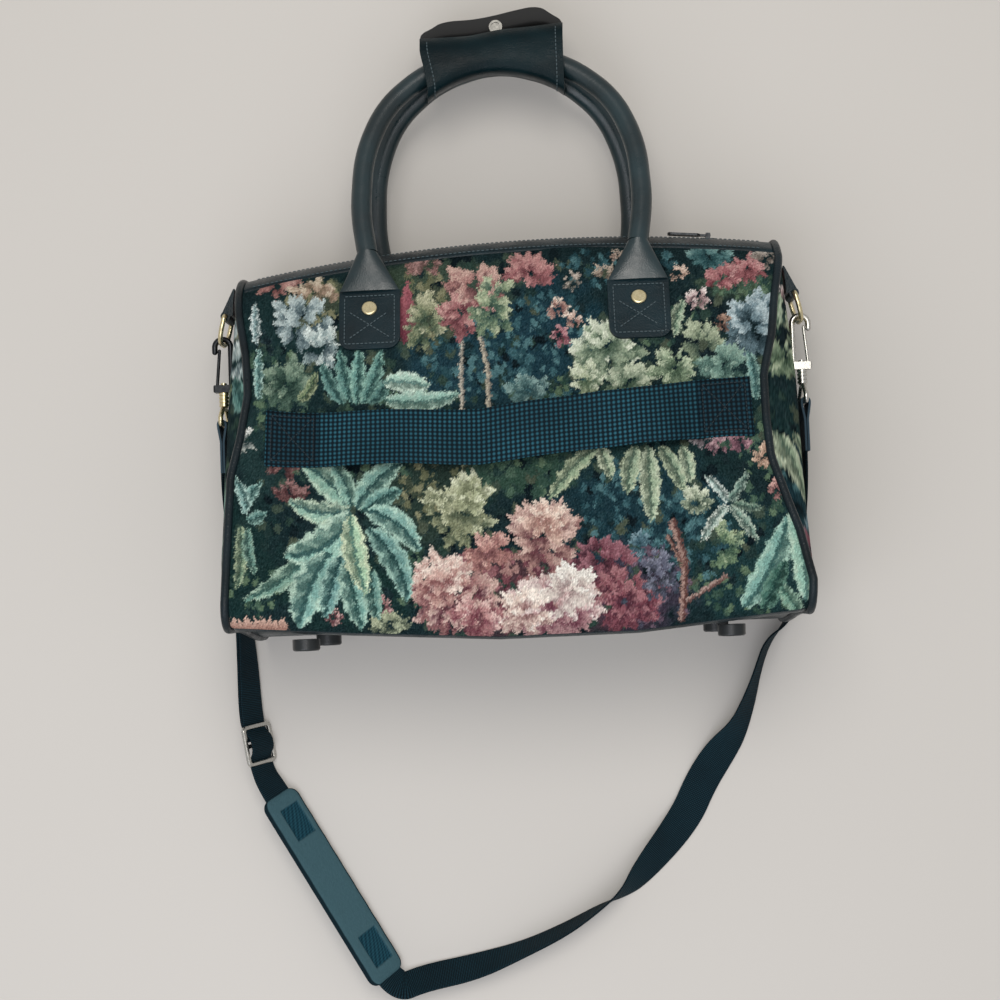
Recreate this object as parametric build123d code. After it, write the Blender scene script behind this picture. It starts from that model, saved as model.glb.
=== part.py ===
# Small carpet bag: a soft duffel that lies on its front, seen from above.
# +X runs along the zip, +Y from the feet to the handles, +Z up from the surface that the bag lies on.
# Lengths are in millimetres. The origin is on that surface, below the middle of the body's base edge.
import os
from math import asin, atan2, cos, degrees, hypot, pi, radians, sin, sqrt, tan

from build123d import *

# Body
body_length = 400.0        # over the piping, along X
body_depth = 183.0         # base panel, along Z
crest_height = 288.0       # highest point of the zip ridge, along Y
crest_x = 42.0             # the ridge slumps more at its left end than at its right
ridge_radius = 1255.0      # of the ridge's long curve
top_radius = 54.0          # of the rounded top, in the end view
corner_radius = 18.0       # of the base corners, in the end view
cloth_wall = 2.2           # tapestry with its backing
piping_radius = 2.5
end_bulge = 4.8            # how far an end panel swells past the piping
lining_wall = 1.0
lining_gap = 0.4
base_board_wall = 2.5
base_board_margin = 14.0
base_seam_height = 7.0     # base panel's edge above the base plane

# Zip
band_width = 17.0          # leather band each side of the zip
zip_gap = 10.0             # between the bands
tape_wall = 0.9
tape_depth = 1.2           # tape's face below the ridge
coil_width = 4.0
coil_height = 1.6
slider_length = 11.0
slider_width = 8.0
slider_x = 150.0
pull_length = 30.0
pull_width = 7.0
pull_wall = 1.6
pin_radius = 0.9
running_gap = 0.3

# Feet
foot_radius = 9.5
foot_height = 8.0
foot_x = 146.0
foot_inset = 32.0          # from the base panel's edges, along Z

# Handles
handle_radius = 7.5
near_tab_x = 96.5
far_tab_x = 92.0
tab_width = 44.0
tab_length = 44.0
tab_wall = 2.2
tab_corner = 9.0
tab_top = 247.0            # Y of a tab's upper edge
flare_length = 30.0
crown_cut = 2.6            # rounding takes this off the crown of a handle's route
foot_gap = 0.6             # between a tab's edge and the handle's foot
foot_seat = 1.2            # handle's flattened foot above the panel's curve
near_flat = 1.4            # half the thickness of a flattened foot
far_flat = 1.1
rivet_radius = 5.6
rivet_height = 1.8
rivet_drop = 13.0          # rivet below the tab's upper edge
near_arch_height = 430.0   # Y of the near handle's crown
far_arch_height = 427.0
near_arch_z = 63.0
far_arch_z = 45.0
arch_shift = -2.5          # handles lean a little to the left

# Wrap round both handles
wrap_width = 104.0
wrap_x = -5.0
wrap_wall = 2.0
wrap_gap = 1.2             # between the leather and the handles
wrap_lip_near = 448.5      # Y of the near lip's edge
wrap_lip_far = 461.0
wrap_arc = 96.0            # radius that the handles' crowns follow inside the wrap
snap_radius = 5.0
snap_height = 1.6

# Trolley sleeve
sleeve_width = 40.0
sleeve_wall = 1.6
sleeve_y = 142.0
sleeve_left = -172.0
sleeve_right = 168.0
sewn_length = 36.0
sleeve_lift = 17.0         # how far the middle stands off the panel

# Clips
ring_wire = 1.75
ring_width = 27.0          # inside, along Z
ring_drop = 20.0           # bar to bow, wire centres
ring_lean = 14.0           # degrees that the ring stands off the end panel
bar_x = 209.0
bar_y = 238.0
clip_z = 70.0
ring_tab_width = 24.0
ring_tab_wall = 1.5
ring_tab_length = 20.0
strap_end_y = 122.0        # where the sewn loop ends and the free strap begins
hook_wire = 2.1
hook_width = 16.0          # outside, across the crook
hook_length = 42.0         # crook's top to the barrel
gate_radius = 1.2
barrel_radius = 3.6
barrel_length = 11.0
hook_base = 5.5            # thickness of the hook's foot
swivel_gap = 0.25
bore_gap = 0.05
shank_radius = 1.6
eye_width = 27.5           # inside, for the webbing
eye_height = 9.0           # inside
eye_wire = 1.8
eye_shoulder = 5.5         # straight sides beside the webbing's loop

# Shoulder strap
strap_width = 25.0
strap_wall = 1.5
ply_gap = 0.5
pad_width = 36.0
pad_wall = 5.0
channel_gap = 0.3          # round the webbing inside the pad
window_width = 19.0
window_length = 37.0
window_inset = 9.0         # from the pad's ends
pad_length = 162.0
adjuster_length = 31.0
adjuster_width = 33.0
adjuster_wall = 2.2
adjuster_bar = 3.0
slide_gap = 0.35

half = body_length / 2
floor_gap = piping_radius
ridge_z = floor_gap + top_radius
arc_centre = (crest_x, crest_height - ridge_radius)


def ridge_height(x):
    """Y of the zip ridge at x."""
    return arc_centre[1] + sqrt(ridge_radius**2 - (x - arc_centre[0]) ** 2)


def profile_points(x, inset=0.0):
    """The end view's corner and tangent points at x: (y, z) pairs by name, and the near wall's unit normal."""
    top, corner = top_radius - inset, corner_radius - inset
    crown = (ridge_height(x) - top_radius, ridge_z)
    near = (corner_radius, floor_gap + body_depth - corner_radius)
    far = (corner_radius, floor_gap + corner_radius)
    dy, dz = crown[0] - near[0], crown[1] - near[1]
    span = hypot(dy, dz)
    along = (corner_radius - top_radius) / span
    across = sqrt(1 - along**2)
    normal = ((dy * along - dz * across) / span, (dz * along + dy * across) / span)
    return {
        "crown": crown,
        "near": near,
        "far": far,
        "normal": normal,
        "top": top,
        "corner": corner,
        "shoulder": (crown[0] + top * normal[0], crown[1] + top * normal[1]),
        "base_near": (near[0] + corner * normal[0], near[1] + corner * normal[1]),
    }


def profile(x, inset=0.0, size=1.0, stand=None):
    """Closed outline of the bag at x, moved inwards by inset, shrunk to size about the end's middle, drawn at stand."""
    p = profile_points(x, inset)
    top, corner = p["top"], p["corner"]
    tilt = atan2(p["normal"][1], p["normal"][0])
    middle = (crest_height / 2, floor_gap + body_depth / 2)

    def at(y, z):
        return Vector(
            x if stand is None else stand,
            middle[0] + (y - middle[0]) * size,
            middle[1] + (z - middle[1]) * size,
        )

    def on(centre, radius, angle):
        return at(centre[0] + radius * cos(angle), centre[1] + radius * sin(angle))

    edges = [
        Edge.make_line(on(p["far"], corner, pi), on(p["near"], corner, pi)),
        Edge.make_three_point_arc(
            on(p["near"], corner, pi), on(p["near"], corner, (pi + tilt) / 2), at(*p["base_near"])
        ),
        Edge.make_line(at(*p["base_near"]), at(*p["shoulder"])),
        Edge.make_three_point_arc(
            at(*p["shoulder"]), on(p["crown"], top, tilt / 2), on(p["crown"], top, 0)
        ),
        Edge.make_three_point_arc(
            on(p["crown"], top, 0), on(p["crown"], top, -pi / 4), on(p["crown"], top, -pi / 2)
        ),
        Edge.make_line(on(p["crown"], top, -pi / 2), on(p["far"], corner, -pi / 2)),
        Edge.make_three_point_arc(
            on(p["far"], corner, -pi / 2), on(p["far"], corner, -3 * pi / 4), on(p["far"], corner, pi)
        ),
    ]
    return Wire(edges)


def wall_z(x, y, outset=0.0):
    """Height of the near panel's outer face at (x, y), moved outwards by outset."""
    p = profile_points(x, -outset)
    ny, nz = p["normal"]
    if y < p["shoulder"][0]:
        return p["shoulder"][1] - (y - p["shoulder"][0]) * ny / nz
    return p["crown"][1] + sqrt(p["top"] ** 2 - (y - p["crown"][0]) ** 2)


def body_solid(inset, reach):
    """The bag's full form, moved inwards by inset, from -reach to reach along X."""
    stations = [-reach, -reach * 0.62, -reach * 0.2, reach * 0.2, reach * 0.62, reach]
    return Solid.make_loft([profile(x, inset) for x in stations])


def slab(x=(-300, 300), y=(-50, 500), z=(-50, 300)):
    """A box between the given limits."""
    centre = [(low + high) / 2 for low, high in (x, y, z)]
    return Pos(*centre) * Box(x[1] - x[0], y[1] - y[0], z[1] - z[0])


def mirrored(shape):
    return mirror(shape, about=Plane.YZ)


def rod(start, end, radius):
    """A round bar between two points."""
    axis = Vector(*end) - Vector(*start)
    return Solid.make_cylinder(radius, axis.length, Plane(origin=start, z_dir=axis))


def round_sweep(path, radius):
    """A round wire bent along a path of tangent lines and arcs."""
    section = Plane(origin=path @ 0, z_dir=path % 0) * Circle(radius)
    return sweep(section, path)


nodes = {}

# Body panels
end_plane = half - 2 * piping_radius
outer = body_solid(0.0, end_plane)
shell = outer - body_solid(cloth_wall, end_plane)
slot = zip_gap / 2
band_edge = slot + band_width
nodes["base_panel"] = shell & slab(y=(-5, base_seam_height))
above_base = shell - slab(y=(-5, base_seam_height))
nodes["near_panel"] = above_base & slab(z=(ridge_z + band_edge, 300))
nodes["far_panel"] = above_base & slab(z=(-5, ridge_z - band_edge))
dome = slab(y=(150, 400), z=(ridge_z - band_edge, ridge_z + band_edge))
nodes["zip_band_near"] = above_base & dome & slab(z=(ridge_z + slot, 300))
nodes["zip_band_far"] = above_base & dome & slab(z=(-5, ridge_z - slot))

# Piping round each end, and the domed end panels inside it
dome_steps = ((0.0, 1.0), (0.45, 0.93), (0.8, 0.76), (1.0, 0.5))


def end_dome(side, shift=0.0):
    """The swollen end, as outlines that shrink about the end's middle as they stand out, moved along X by shift."""
    rise = end_bulge + 2 * piping_radius - cloth_wall
    rings = []
    for share, size in dome_steps:
        stand = side * (end_plane + cloth_wall + share * rise) + shift
        rings.append(profile(side * end_plane, piping_radius, size, stand))
    return Solid.make_loft(rings)


swells = {}
for side, name in ((-1, "left"), (1, "right")):
    nodes[f"{name}_piping"] = round_sweep(profile(side * (half - piping_radius)), piping_radius)
    swells[name] = end_dome(side)
    nodes[f"{name}_end_panel"] = swells[name] - end_dome(side, -side * cloth_wall)

# Lining, with its mouth under the zip, and the stiff board on the base
lining_inset = cloth_wall + lining_gap
lining_reach = end_plane - lining_gap
lining = body_solid(lining_inset, lining_reach) - body_solid(
    lining_inset + lining_wall, lining_reach - lining_wall
)
nodes["lining"] = lining - slab(y=(200, 400), z=(ridge_z - slot, ridge_z + slot))
board_bottom = lining_inset + lining_wall + lining_gap
board = slab(
    x=(-end_plane + base_board_margin, end_plane - base_board_margin),
    y=(board_bottom, board_bottom + base_board_wall),
    z=(floor_gap + corner_radius, floor_gap + body_depth - corner_radius),
)
nodes["base_board"] = fillet(board.edges().filter_by(Axis.Y), 8)

# Zip: everything follows the ridge's long curve about arc_axis
arc_axis = Axis((arc_centre[0], arc_centre[1], 0), (0, 0, 1))


def ridge_angle(x):
    """Angle at arc_axis from +Y to the ridge point at x, in degrees."""
    return degrees(asin((x - arc_centre[0]) / ridge_radius))


def ridge_strip(inner, outer, z_low, z_high, reach):
    """A band round the ridge's curve, between two radii and two heights, from -reach to reach."""
    start, end = ridge_angle(-reach), ridge_angle(reach)
    plane = Plane(
        origin=(arc_centre[0], arc_centre[1], 0),
        x_dir=(sin(radians(end)), cos(radians(end)), 0),
        z_dir=(cos(radians(end)), -sin(radians(end)), 0),
    )
    centre = ((inner + outer) / 2, (z_low + z_high) / 2)
    section = plane * Pos(*centre) * Rectangle(outer - inner, z_high - z_low)
    return revolve(section, axis=arc_axis, revolution_arc=end - start)


tape_top = ridge_radius - tape_depth
coil_gap = pin_radius + running_gap
tape_reach = end_plane - 2 * lining_gap
tapes = [
    ridge_strip(tape_top - tape_wall, tape_top, ridge_z + low, ridge_z + high, tape_reach)
    for low, high in ((coil_gap / 2, slot), (-slot, -coil_gap / 2))
]
nodes["zip_tape"] = Compound(tapes)
coils = [
    ridge_strip(tape_top, tape_top + coil_height, ridge_z + low, ridge_z + high, tape_reach - 8)
    for low, high in ((coil_gap / 2, coil_width / 2), (-coil_width / 2, -coil_gap / 2))
]
nodes["zip_coil"] = Compound(coils)


def on_ridge(x):
    """Frame on the ridge at x: its X runs along the zip, its Y out of the bag, its Z up."""
    turn = ridge_angle(x)
    return Pos(arc_centre[0], arc_centre[1], ridge_z) * Rot(0, 0, -turn) * Pos(0, ridge_radius, 0)


def block(x, y, z):
    """A box between limits in a local frame."""
    return slab(x, y, z)


cover_low = -tape_depth + running_gap
cover_top = coil_height - tape_depth + running_gap + 1.2
pin_out = cover_top + 2.4
slider = block(
    (-slider_length / 2, slider_length / 2),
    (cover_low, cover_top),
    (-slider_width / 2, slider_width / 2),
)
slider = fillet(slider.edges().filter_by(Axis.Y), 2.0)
coil_room = coil_width / 2 + running_gap
slider -= block(
    (-slider_length, slider_length),
    (cover_low - 1, coil_height - tape_depth + running_gap),
    (-coil_room, coil_room),
)
wedge = coil_gap / 2 - running_gap
under = -tape_depth - tape_wall - running_gap
slider += block((2.0, 4.4), (under - 0.5, cover_top - 0.3), (-wedge, wedge))
slider += block((-slider_length / 2 + 1, slider_length / 2 - 1), (under - 1.1, under), (-3.2, 3.2))
ear_out = pull_width / 2 - 0.6
for low, high in ((-ear_out, -ear_out + 1.2), (ear_out - 1.2, ear_out)):
    slider += block((-1.6, 1.6), (cover_top - 0.2, pin_out + 1.7), (low, high))
slider += Pos(0, pin_out, 0) * Cylinder(pin_radius, 2 * ear_out)
eye_room = ear_out - 1.2 - running_gap
pull = Pos(0, pin_out, 0) * Cylinder(pin_radius + 1.2, 2 * eye_room)
neck = block((-7, 0), (pin_out - pull_wall / 2, pin_out + pull_wall / 2), (-eye_room, eye_room))
blade = block(
    (-pull_length, -6),
    (pin_out - pull_wall / 2, pin_out + pull_wall / 2),
    (-pull_width / 2, pull_width / 2),
)
pull += neck + fillet(blade.edges().filter_by(Axis.Y), 2.5)
pull -= Pos(0, pin_out, 0) * Cylinder(pin_radius + 0.06, 4 * ear_out)
pull -= Pos(-pull_length + 5, pin_out, 0) * Rot(90, 0, 0) * Cylinder(1.8, 4 * pull_wall)
slider_place = on_ridge(slider_x)
nodes["zip_slider"] = slider_place * slider
nodes["zip_pull"] = slider_place * pull

# Feet on the base
for name, foot_z in (
    ("far", floor_gap + foot_inset),
    ("near", floor_gap + body_depth - foot_inset),
):
    for side, hand in ((-1, "left"), (1, "right")):
        foot = Pos(side * foot_x, -foot_height / 2, foot_z) * Rot(90, 0, 0) * Cylinder(foot_radius, foot_height)
        rim = foot.edges().filter_by(GeomType.CIRCLE).sort_by(Axis.Y)[0]
        nodes[f"foot_{name}_{hand}"] = fillet(rim, 1.6)

# Tabs under the handles, laid on the panels, and their rivets
tab_layer = body_solid(-tab_wall, end_plane) - outer


def tab_sheet(x, heights):
    """A tab's outline at x, cut from the layer over the panels between two heights."""
    outline = Pos(x, tab_top - tab_length / 2) * Rectangle(tab_width, tab_length)
    lower = outline.vertices().sort_by(Axis.Y)[:2]
    prism = extrude(fillet(lower, tab_corner), heights[1] - heights[0])
    return tab_layer & (Pos(0, 0, heights[0]) * prism)


near_heights = (ridge_z, body_depth + 20)
far_heights = (-5, ridge_z)
rivet_y = tab_top - rivet_drop
near_rivets, far_rivets = [], []
for side, hand in ((-1, "left"), (1, "right")):
    near_x = side * near_tab_x + arch_shift
    nodes[f"tab_near_{hand}"] = tab_sheet(near_x, near_heights)
    nodes[f"tab_far_{hand}"] = tab_sheet(side * far_tab_x + arch_shift, far_heights)
    normal = profile_points(near_x)["normal"]
    seat = Plane(
        origin=(near_x, rivet_y, wall_z(near_x, rivet_y, tab_wall)),
        x_dir=(1, 0, 0),
        z_dir=(0, *normal),
    )
    cap = Pos(0, 0, rivet_height / 2) * Cylinder(rivet_radius, rivet_height)
    cap = seat * fillet(cap.edges().group_by(Axis.Z)[-1], rivet_height * 0.7)
    near_rivets.append(cap - nodes[f"tab_near_{hand}"])
    far_rivets.append(
        Pos(side * far_tab_x + arch_shift, rivet_y, (floor_gap - tab_wall) / 2)
        * Cylinder(rivet_radius, floor_gap - tab_wall)
    )
nodes["near_rivets"] = Compound(near_rivets)
nodes["far_rivets"] = Compound(far_rivets)


def largest_radii(points):
    """For each inner point of a route, the largest arc that its two runs allow."""
    radii = []
    for before, here, after in zip(points, points[1:], points[2:]):
        into, out = Vector(*here) - Vector(*before), Vector(*after) - Vector(*here)
        turn = radians(into.get_angle(out))
        radii.append(0.45 * min(into.length, out.length) / tan(turn / 2))
    return radii


# Handles: a rolled tube in a slanted plane, flattened where it is sewn to its tabs
def handle(tab_x, feet_z, crown_y, crown_z, flat_half):
    """A handle whose left and right feet stand at the tabs' upper edges and whose crown is at (crown_y, crown_z)."""
    start_z = sum(feet_z) / 2
    rise = hypot(crown_y - tab_top, crown_z - start_z)
    across = Vector(2 * tab_x, 0, feet_z[1] - feet_z[0]).normalized()
    up = Vector(0, crown_y - tab_top, crown_z - start_z)
    plane = Plane(origin=(arch_shift, tab_top, start_z), x_dir=across, z_dir=across.cross(up))
    right = [
        (tab_x + 1.5, flare_length),
        (tab_x + 6.5, rise * 0.33),
        (tab_x + 4.0, rise * 0.58),
        (tab_x - 12.0, rise * 0.79),
        (tab_x - 46.0, rise * 0.945),
    ]
    points = right + [(0, rise + crown_cut)] + [(-x, y) for x, y in reversed(right)]
    route = FilletPolyline(*points, radius=largest_radii([(x, y, 0) for x, y in points]))
    tube = round_sweep(Wire(route.edges()), handle_radius)
    for side in (-1, 1):
        foot = Pos(side * tab_x, foot_gap) * Rot(-90, 0, 0) * Ellipse(tab_width / 2 - 0.5, flat_half)
        ring = Pos(side * (tab_x + 1.5), flare_length) * Rot(-90, 0, 0) * Circle(handle_radius)
        tube += loft([foot, ring])
    return plane * tube


near_feet = [
    wall_z(side * near_tab_x + arch_shift, tab_top) + foot_seat + near_flat for side in (-1, 1)
]


def far_wall_z(x, y):
    """Height of the far panel's outer face at (x, y), past where it leaves the flat."""
    return ridge_z - sqrt(top_radius**2 - (y - ridge_height(x) + top_radius) ** 2)


far_feet = [
    far_wall_z(side * far_tab_x + arch_shift, tab_top) - foot_seat - far_flat for side in (-1, 1)
]
nodes["near_handle"] = handle(near_tab_x, near_feet, near_arch_height, near_arch_z, near_flat)
nodes["far_handle"] = handle(far_tab_x, far_feet, far_arch_height, far_arch_z, far_flat)

# Wrap: one leather piece folded round both handles and snapped above them
wrap_middle = (near_arch_z + far_arch_z) / 2
wrap_axis_y = near_arch_height - wrap_arc
wrap_half = (near_arch_z - far_arch_z) / 2 + handle_radius + wrap_gap + wrap_wall / 2 + 3.0
fold = far_arch_height - wrap_axis_y - handle_radius - wrap_gap - wrap_wall / 2
section_points = [
    (wrap_lip_near - wrap_axis_y, 3.2),
    (fold + 27.5, 4.2),
    (fold + 21.0, wrap_half),
    (fold, wrap_half),
    (fold, -wrap_half),
    (fold + 18.0, -wrap_half),
    (fold + 26.0, -4.0),
    (wrap_lip_far - wrap_axis_y, -3.2),
]
wrap_line = FilletPolyline(*section_points, radius=[3, 7, 8, 8, 7, 4])
wrap_section = trace(wrap_line, wrap_wall)
wrap_turn = degrees(2 * asin(wrap_width / 2 / (wrap_arc + 15)))
wrap_start = radians(wrap_turn / 2) - asin((wrap_x - arch_shift) / (wrap_arc + 15))
wrap_plane = Plane(
    origin=(arch_shift, wrap_axis_y, wrap_middle),
    x_dir=(-sin(wrap_start), cos(wrap_start), 0),
    z_dir=(cos(wrap_start), sin(wrap_start), 0),
)
wrap_axis = Axis((arch_shift, wrap_axis_y, 0), (0, 0, 1))
nodes["handle_wrap"] = revolve(wrap_plane * wrap_section, axis=wrap_axis, revolution_arc=-wrap_turn)

# Snap on the wrap's far lip: its bright half inside, its cap outside
snap_y = wrap_lip_far - snap_radius - 1.0
lip_tilt = (4.0 - 3.2) / (wrap_lip_far - wrap_axis_y - fold - 26.0)
lip_z = 3.2 + (wrap_lip_far - snap_y) * lip_tilt
snap_plane = Plane(
    origin=(arch_shift, snap_y, wrap_middle - lip_z), x_dir=(1, 0, 0), z_dir=(0, -lip_tilt, 1)
)
inside = Pos(0, 0, (wrap_wall + snap_height) / 2) * Cylinder(snap_radius, snap_height)
inside -= Pos(0, 0, wrap_wall / 2 + snap_height) * Cylinder(snap_radius - 1.6, snap_height)
nodes["snap_stud"] = snap_plane * inside
outside = Pos(0, 0, -(wrap_wall + snap_height) / 2) * Cylinder(snap_radius, snap_height)
nodes["snap_cap"] = snap_plane * fillet(outside.edges().group_by(Axis.Z)[0], snap_height * 0.6)

# Trolley sleeve: sewn flat at both ends, standing off the panel in the middle
sleeve_points = [
    (sleeve_left + sewn_length, sleeve_wall / 2),
    (sleeve_left + sewn_length + 16, sleeve_wall / 2 + 1.0),
    (sleeve_left + sewn_length + 60, sleeve_lift * 0.86),
    (-16.0, sleeve_lift + sleeve_wall / 2),
    (16.0, sleeve_lift + sleeve_wall / 2),
    (sleeve_right - sewn_length - 60, sleeve_lift * 0.86),
    (sleeve_right - sewn_length - 16, sleeve_wall / 2 + 1.0),
    (sleeve_right - sewn_length, sleeve_wall / 2),
]
sleeve_line = [(x, wall_z(x, sleeve_y) + stand) for x, stand in sleeve_points]
sleeve_route = FilletPolyline(
    *sleeve_line, radius=largest_radii([(x, z, 0) for x, z in sleeve_line])
)
sleeve_section = Plane(origin=(0, sleeve_y, 0), x_dir=(1, 0, 0), z_dir=(0, -1, 0)) * trace(
    sleeve_route, sleeve_wall
)
wall_normal = profile_points(0.0)["normal"]
sleeve_middle = extrude(
    sleeve_section, sleeve_width / 2, dir=(0, wall_normal[1], -wall_normal[0]), both=True
)
sleeve_layer = body_solid(-sleeve_wall, end_plane) - outer
sleeve_ends = sleeve_layer & slab(
    y=(sleeve_y - sleeve_width / 2, sleeve_y + sleeve_width / 2), z=(body_depth / 2, 300)
)
sleeve = (sleeve_middle - outer) + (
    sleeve_ends & slab(x=(sleeve_left, sleeve_left + sewn_length + 1))
)
nodes["trolley_sleeve"] = sleeve + (
    sleeve_ends & slab(x=(sleeve_right - sewn_length - 1, sleeve_right))
)

# Clips: each is drawn at the right end, and mirrored for the left end
lean = radians(ring_lean)
clip_x = bar_x + ring_drop * sin(lean)
bow_y = bar_y - ring_drop * cos(lean)


def in_clip(shape):
    """Moves a shape drawn about the shank's line, with Y up from the base plane, to the right clip."""
    return Pos(clip_x, 0, clip_z) * shape


def ring_tab(swell, piping):
    """Leather loop round the ring's bar, with a double flange sewn to the end panel."""
    outside = ring_wire + running_gap + ring_tab_wall
    loop = Pos(bar_x, bar_y) * Circle(outside)
    loop += make_face(
        Polyline(
            (bar_x + outside, bar_y),
            (half + 2.6, bar_y + ring_tab_length),
            (half - 4, bar_y + ring_tab_length),
            (half - 4, bar_y),
            close=True,
        )
    )
    loop -= Pos(bar_x, bar_y) * Circle(ring_wire + running_gap)
    solid = Pos(0, 0, clip_z) * extrude(loop, ring_tab_width / 2, both=True)
    return (solid - swell - piping).solids().sort_by(SortBy.VOLUME)[-1]


def ring():
    """D-ring: a straight bar in the leather loop and a rounded bow."""
    plane = Plane(
        origin=(bar_x, bar_y, clip_z),
        x_dir=(sin(lean), -cos(lean), 0),
        z_dir=(-cos(lean), -sin(lean), 0),
    )
    side = ring_width / 2 + ring_wire
    path = FilletPolyline(
        (0, -side), (0, side), (ring_drop, side), (ring_drop, -side), radius=[3, 3, 11, 11], close=True
    )
    return plane * round_sweep(Wire(path.edges()), ring_wire)


crook = hook_width / 2 - hook_wire
crook_y = bow_y + ring_wire + 0.15 + hook_wire - crook
base_y = crook_y + crook + hook_wire - hook_length
pivot = (crook - 1.0, base_y + 3.6)
gate_half = 1.5


def hook():
    """The hook: a crook of round wire on a foot with the shank's bore and the gate's slot and pin."""
    path = Wire(
        [
            Edge.make_line((crook, crook_y - 3.5), (crook, crook_y)),
            Edge.make_three_point_arc((crook, crook_y), (0, crook_y + crook), (-crook, crook_y)),
            Edge.make_line((-crook, crook_y), (-crook, base_y + hook_base / 2)),
        ]
    )
    solid = round_sweep(path, hook_wire) + Pos(crook, crook_y - 3.5) * Sphere(hook_wire)
    foot = slab((-crook - hook_wire, crook + 1.4), (base_y, base_y + hook_base), (-3.6, 3.6))
    solid += fillet(foot.edges().filter_by(Axis.Z) + foot.edges().filter_by(Axis.Y), 1.2)
    solid -= Pos(0, base_y, 0) * Rot(90, 0, 0) * Cylinder(shank_radius + bore_gap, 4 * hook_base)
    slot_half = gate_half + running_gap
    solid -= slab((2.4, 12), (base_y + 1.3, base_y + 12), (-slot_half, slot_half))
    return solid + Pos(*pivot) * Cylinder(pin_radius, 7.2)


def gate():
    """The sprung gate that shuts the crook from inside its tip."""
    tip = (crook - hook_wire - gate_radius - 0.15, crook_y - 2.6)
    solid = rod((*pivot, 0), (*tip, 0), gate_radius) + Pos(*tip) * Sphere(gate_radius)
    solid += Pos(*pivot) * Cylinder(pin_radius + 1.0, 2 * gate_half)
    return solid - Pos(*pivot) * Cylinder(pin_radius + bore_gap, 20)


barrel_top = base_y - swivel_gap
eye_top = barrel_top - barrel_length - eye_wire / 2
eye_bar_y = eye_top - eye_height - 2 * eye_wire


def eye():
    """The swivel's eye: a peened shank, a ridged barrel and the frame that holds the webbing."""
    head = base_y + hook_base + swivel_gap
    outline = [
        (0, head + 1.2),
        (2.3, head + 1.2),
        (2.3, head),
        (shank_radius, head),
        (shank_radius, barrel_top),
    ]
    ridges = 4
    step = barrel_length / ridges
    for ridge in range(ridges):
        high = barrel_top - ridge * step
        outline += [
            (barrel_radius, high),
            (barrel_radius, high - step * 0.66),
            (barrel_radius - 0.7, high - step * 0.74),
            (barrel_radius - 0.7, high - step),
        ]
    outline.append((0, barrel_top - barrel_length))
    solid = revolve(make_face(Polyline(*outline, close=True)), axis=Axis.Y)
    side = eye_width / 2 + eye_wire
    plane = Plane(origin=(0, 0, 0), x_dir=(0, 0, 1), z_dir=(-1, 0, 0))
    shoulder = eye_bar_y + eye_shoulder
    corners = [(6, eye_top), (side, shoulder), (side, eye_bar_y)]
    corners += [(-x, y) for x, y in reversed(corners)]
    path = FilletPolyline(*corners, radius=[2.5, 3, 3, 3, 3, 2.5], close=True)
    return solid + plane * round_sweep(Wire(path.edges()), eye_wire)


def strap_end():
    """The webbing's sewn loop round the eye's bar."""
    loop = eye_wire + running_gap + strap_wall / 2
    ply = (strap_wall + ply_gap) / 2
    right = [
        (ply, strap_end_y),
        (ply, eye_bar_y - 13),
        (loop, eye_bar_y - 2),
        (loop, eye_bar_y + loop),
    ]
    points = right + [(-x, y) for x, y in reversed(right)]
    line = FilletPolyline(*points, radius=[12, 12, loop - 0.1, loop - 0.1, 12, 12])
    return extrude(trace(line, strap_wall), strap_width / 2, both=True)


clip_parts = {
    "ring_tab": ring_tab(swells["right"], nodes["right_piping"]),
    "ring": ring(),
    "hook": in_clip(hook()),
    "gate": in_clip(gate()),
    "eye": in_clip(eye()),
    "strap_end": in_clip(strap_end()),
}
for name, shape in clip_parts.items():
    nodes[f"right_{name}"] = shape
    nodes[f"left_{name}"] = mirrored(shape)


# Shoulder strap: its centre line from the left clip to the right one, as X, Y, Z (None where it rests on
# the surface), the twist of its width in degrees from flat, and how much of a run a bend may take
strap_route = [
    (-clip_x + 1, strap_end_y, clip_z, 90, 9),
    (-clip_x + 1, 108, clip_z, 90, 9),
    (-212.7, 84, 57, 90, 9),
    (-212.4, 60, 43, 92, 9),
    (-212.2, 36, 31, 96, 9),
    (-212.1, 6, 18.3, 104, 9),
    (-211.3, -24, 12.8, 114, 9),
    (-210.05, -61.3, 14.0, 120, 3),
    (-203.66, -101.65, 14.0, 120, 3.5),
    (-193.68, -118.86, 15.2, 132, 2),
    (-105.3, -271.1, 15.2, 132, 9),
    (-85, -264, 10.8, 132, 9),
    (-46, -257, None, 130, 9),
    (-10, -245, None, 108, 9),
    (25, -230, None, 102, 9),
    (52, -214, None, 90, 9),
    (70, -204, None, 68, 9),
    (84, -190, None, 40, 9),
    (119, -151, None, 5, 9),
    (132, -124, None, 0, 9),
    (146, -103, None, 10, 9),
    (162, -82, None, 50, 9),
    (171, -61, None, 62, 9),
    (178, -40, None, 73, 9),
    (186, -18, None, 73, 9),
    (200.5, -5, None, 90, 9),
    (206, 8, 15, 90, 9),
    (209.5, 26, 22, 90, 9),
    (211.3, 50, 35, 90, 9),
    (212.5, 78, 53, 90, 9),
    (clip_x - 1, 106, clip_z, 90, 9),
    (clip_x - 1, strap_end_y, clip_z, 90, 9),
]


def resting(twist):
    """Height of the strap's centre where its lower edge rests on the surface."""
    turn = radians(twist)
    return strap_width / 2 * abs(sin(turn)) + strap_wall / 2 * abs(cos(turn)) + 0.35


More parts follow.
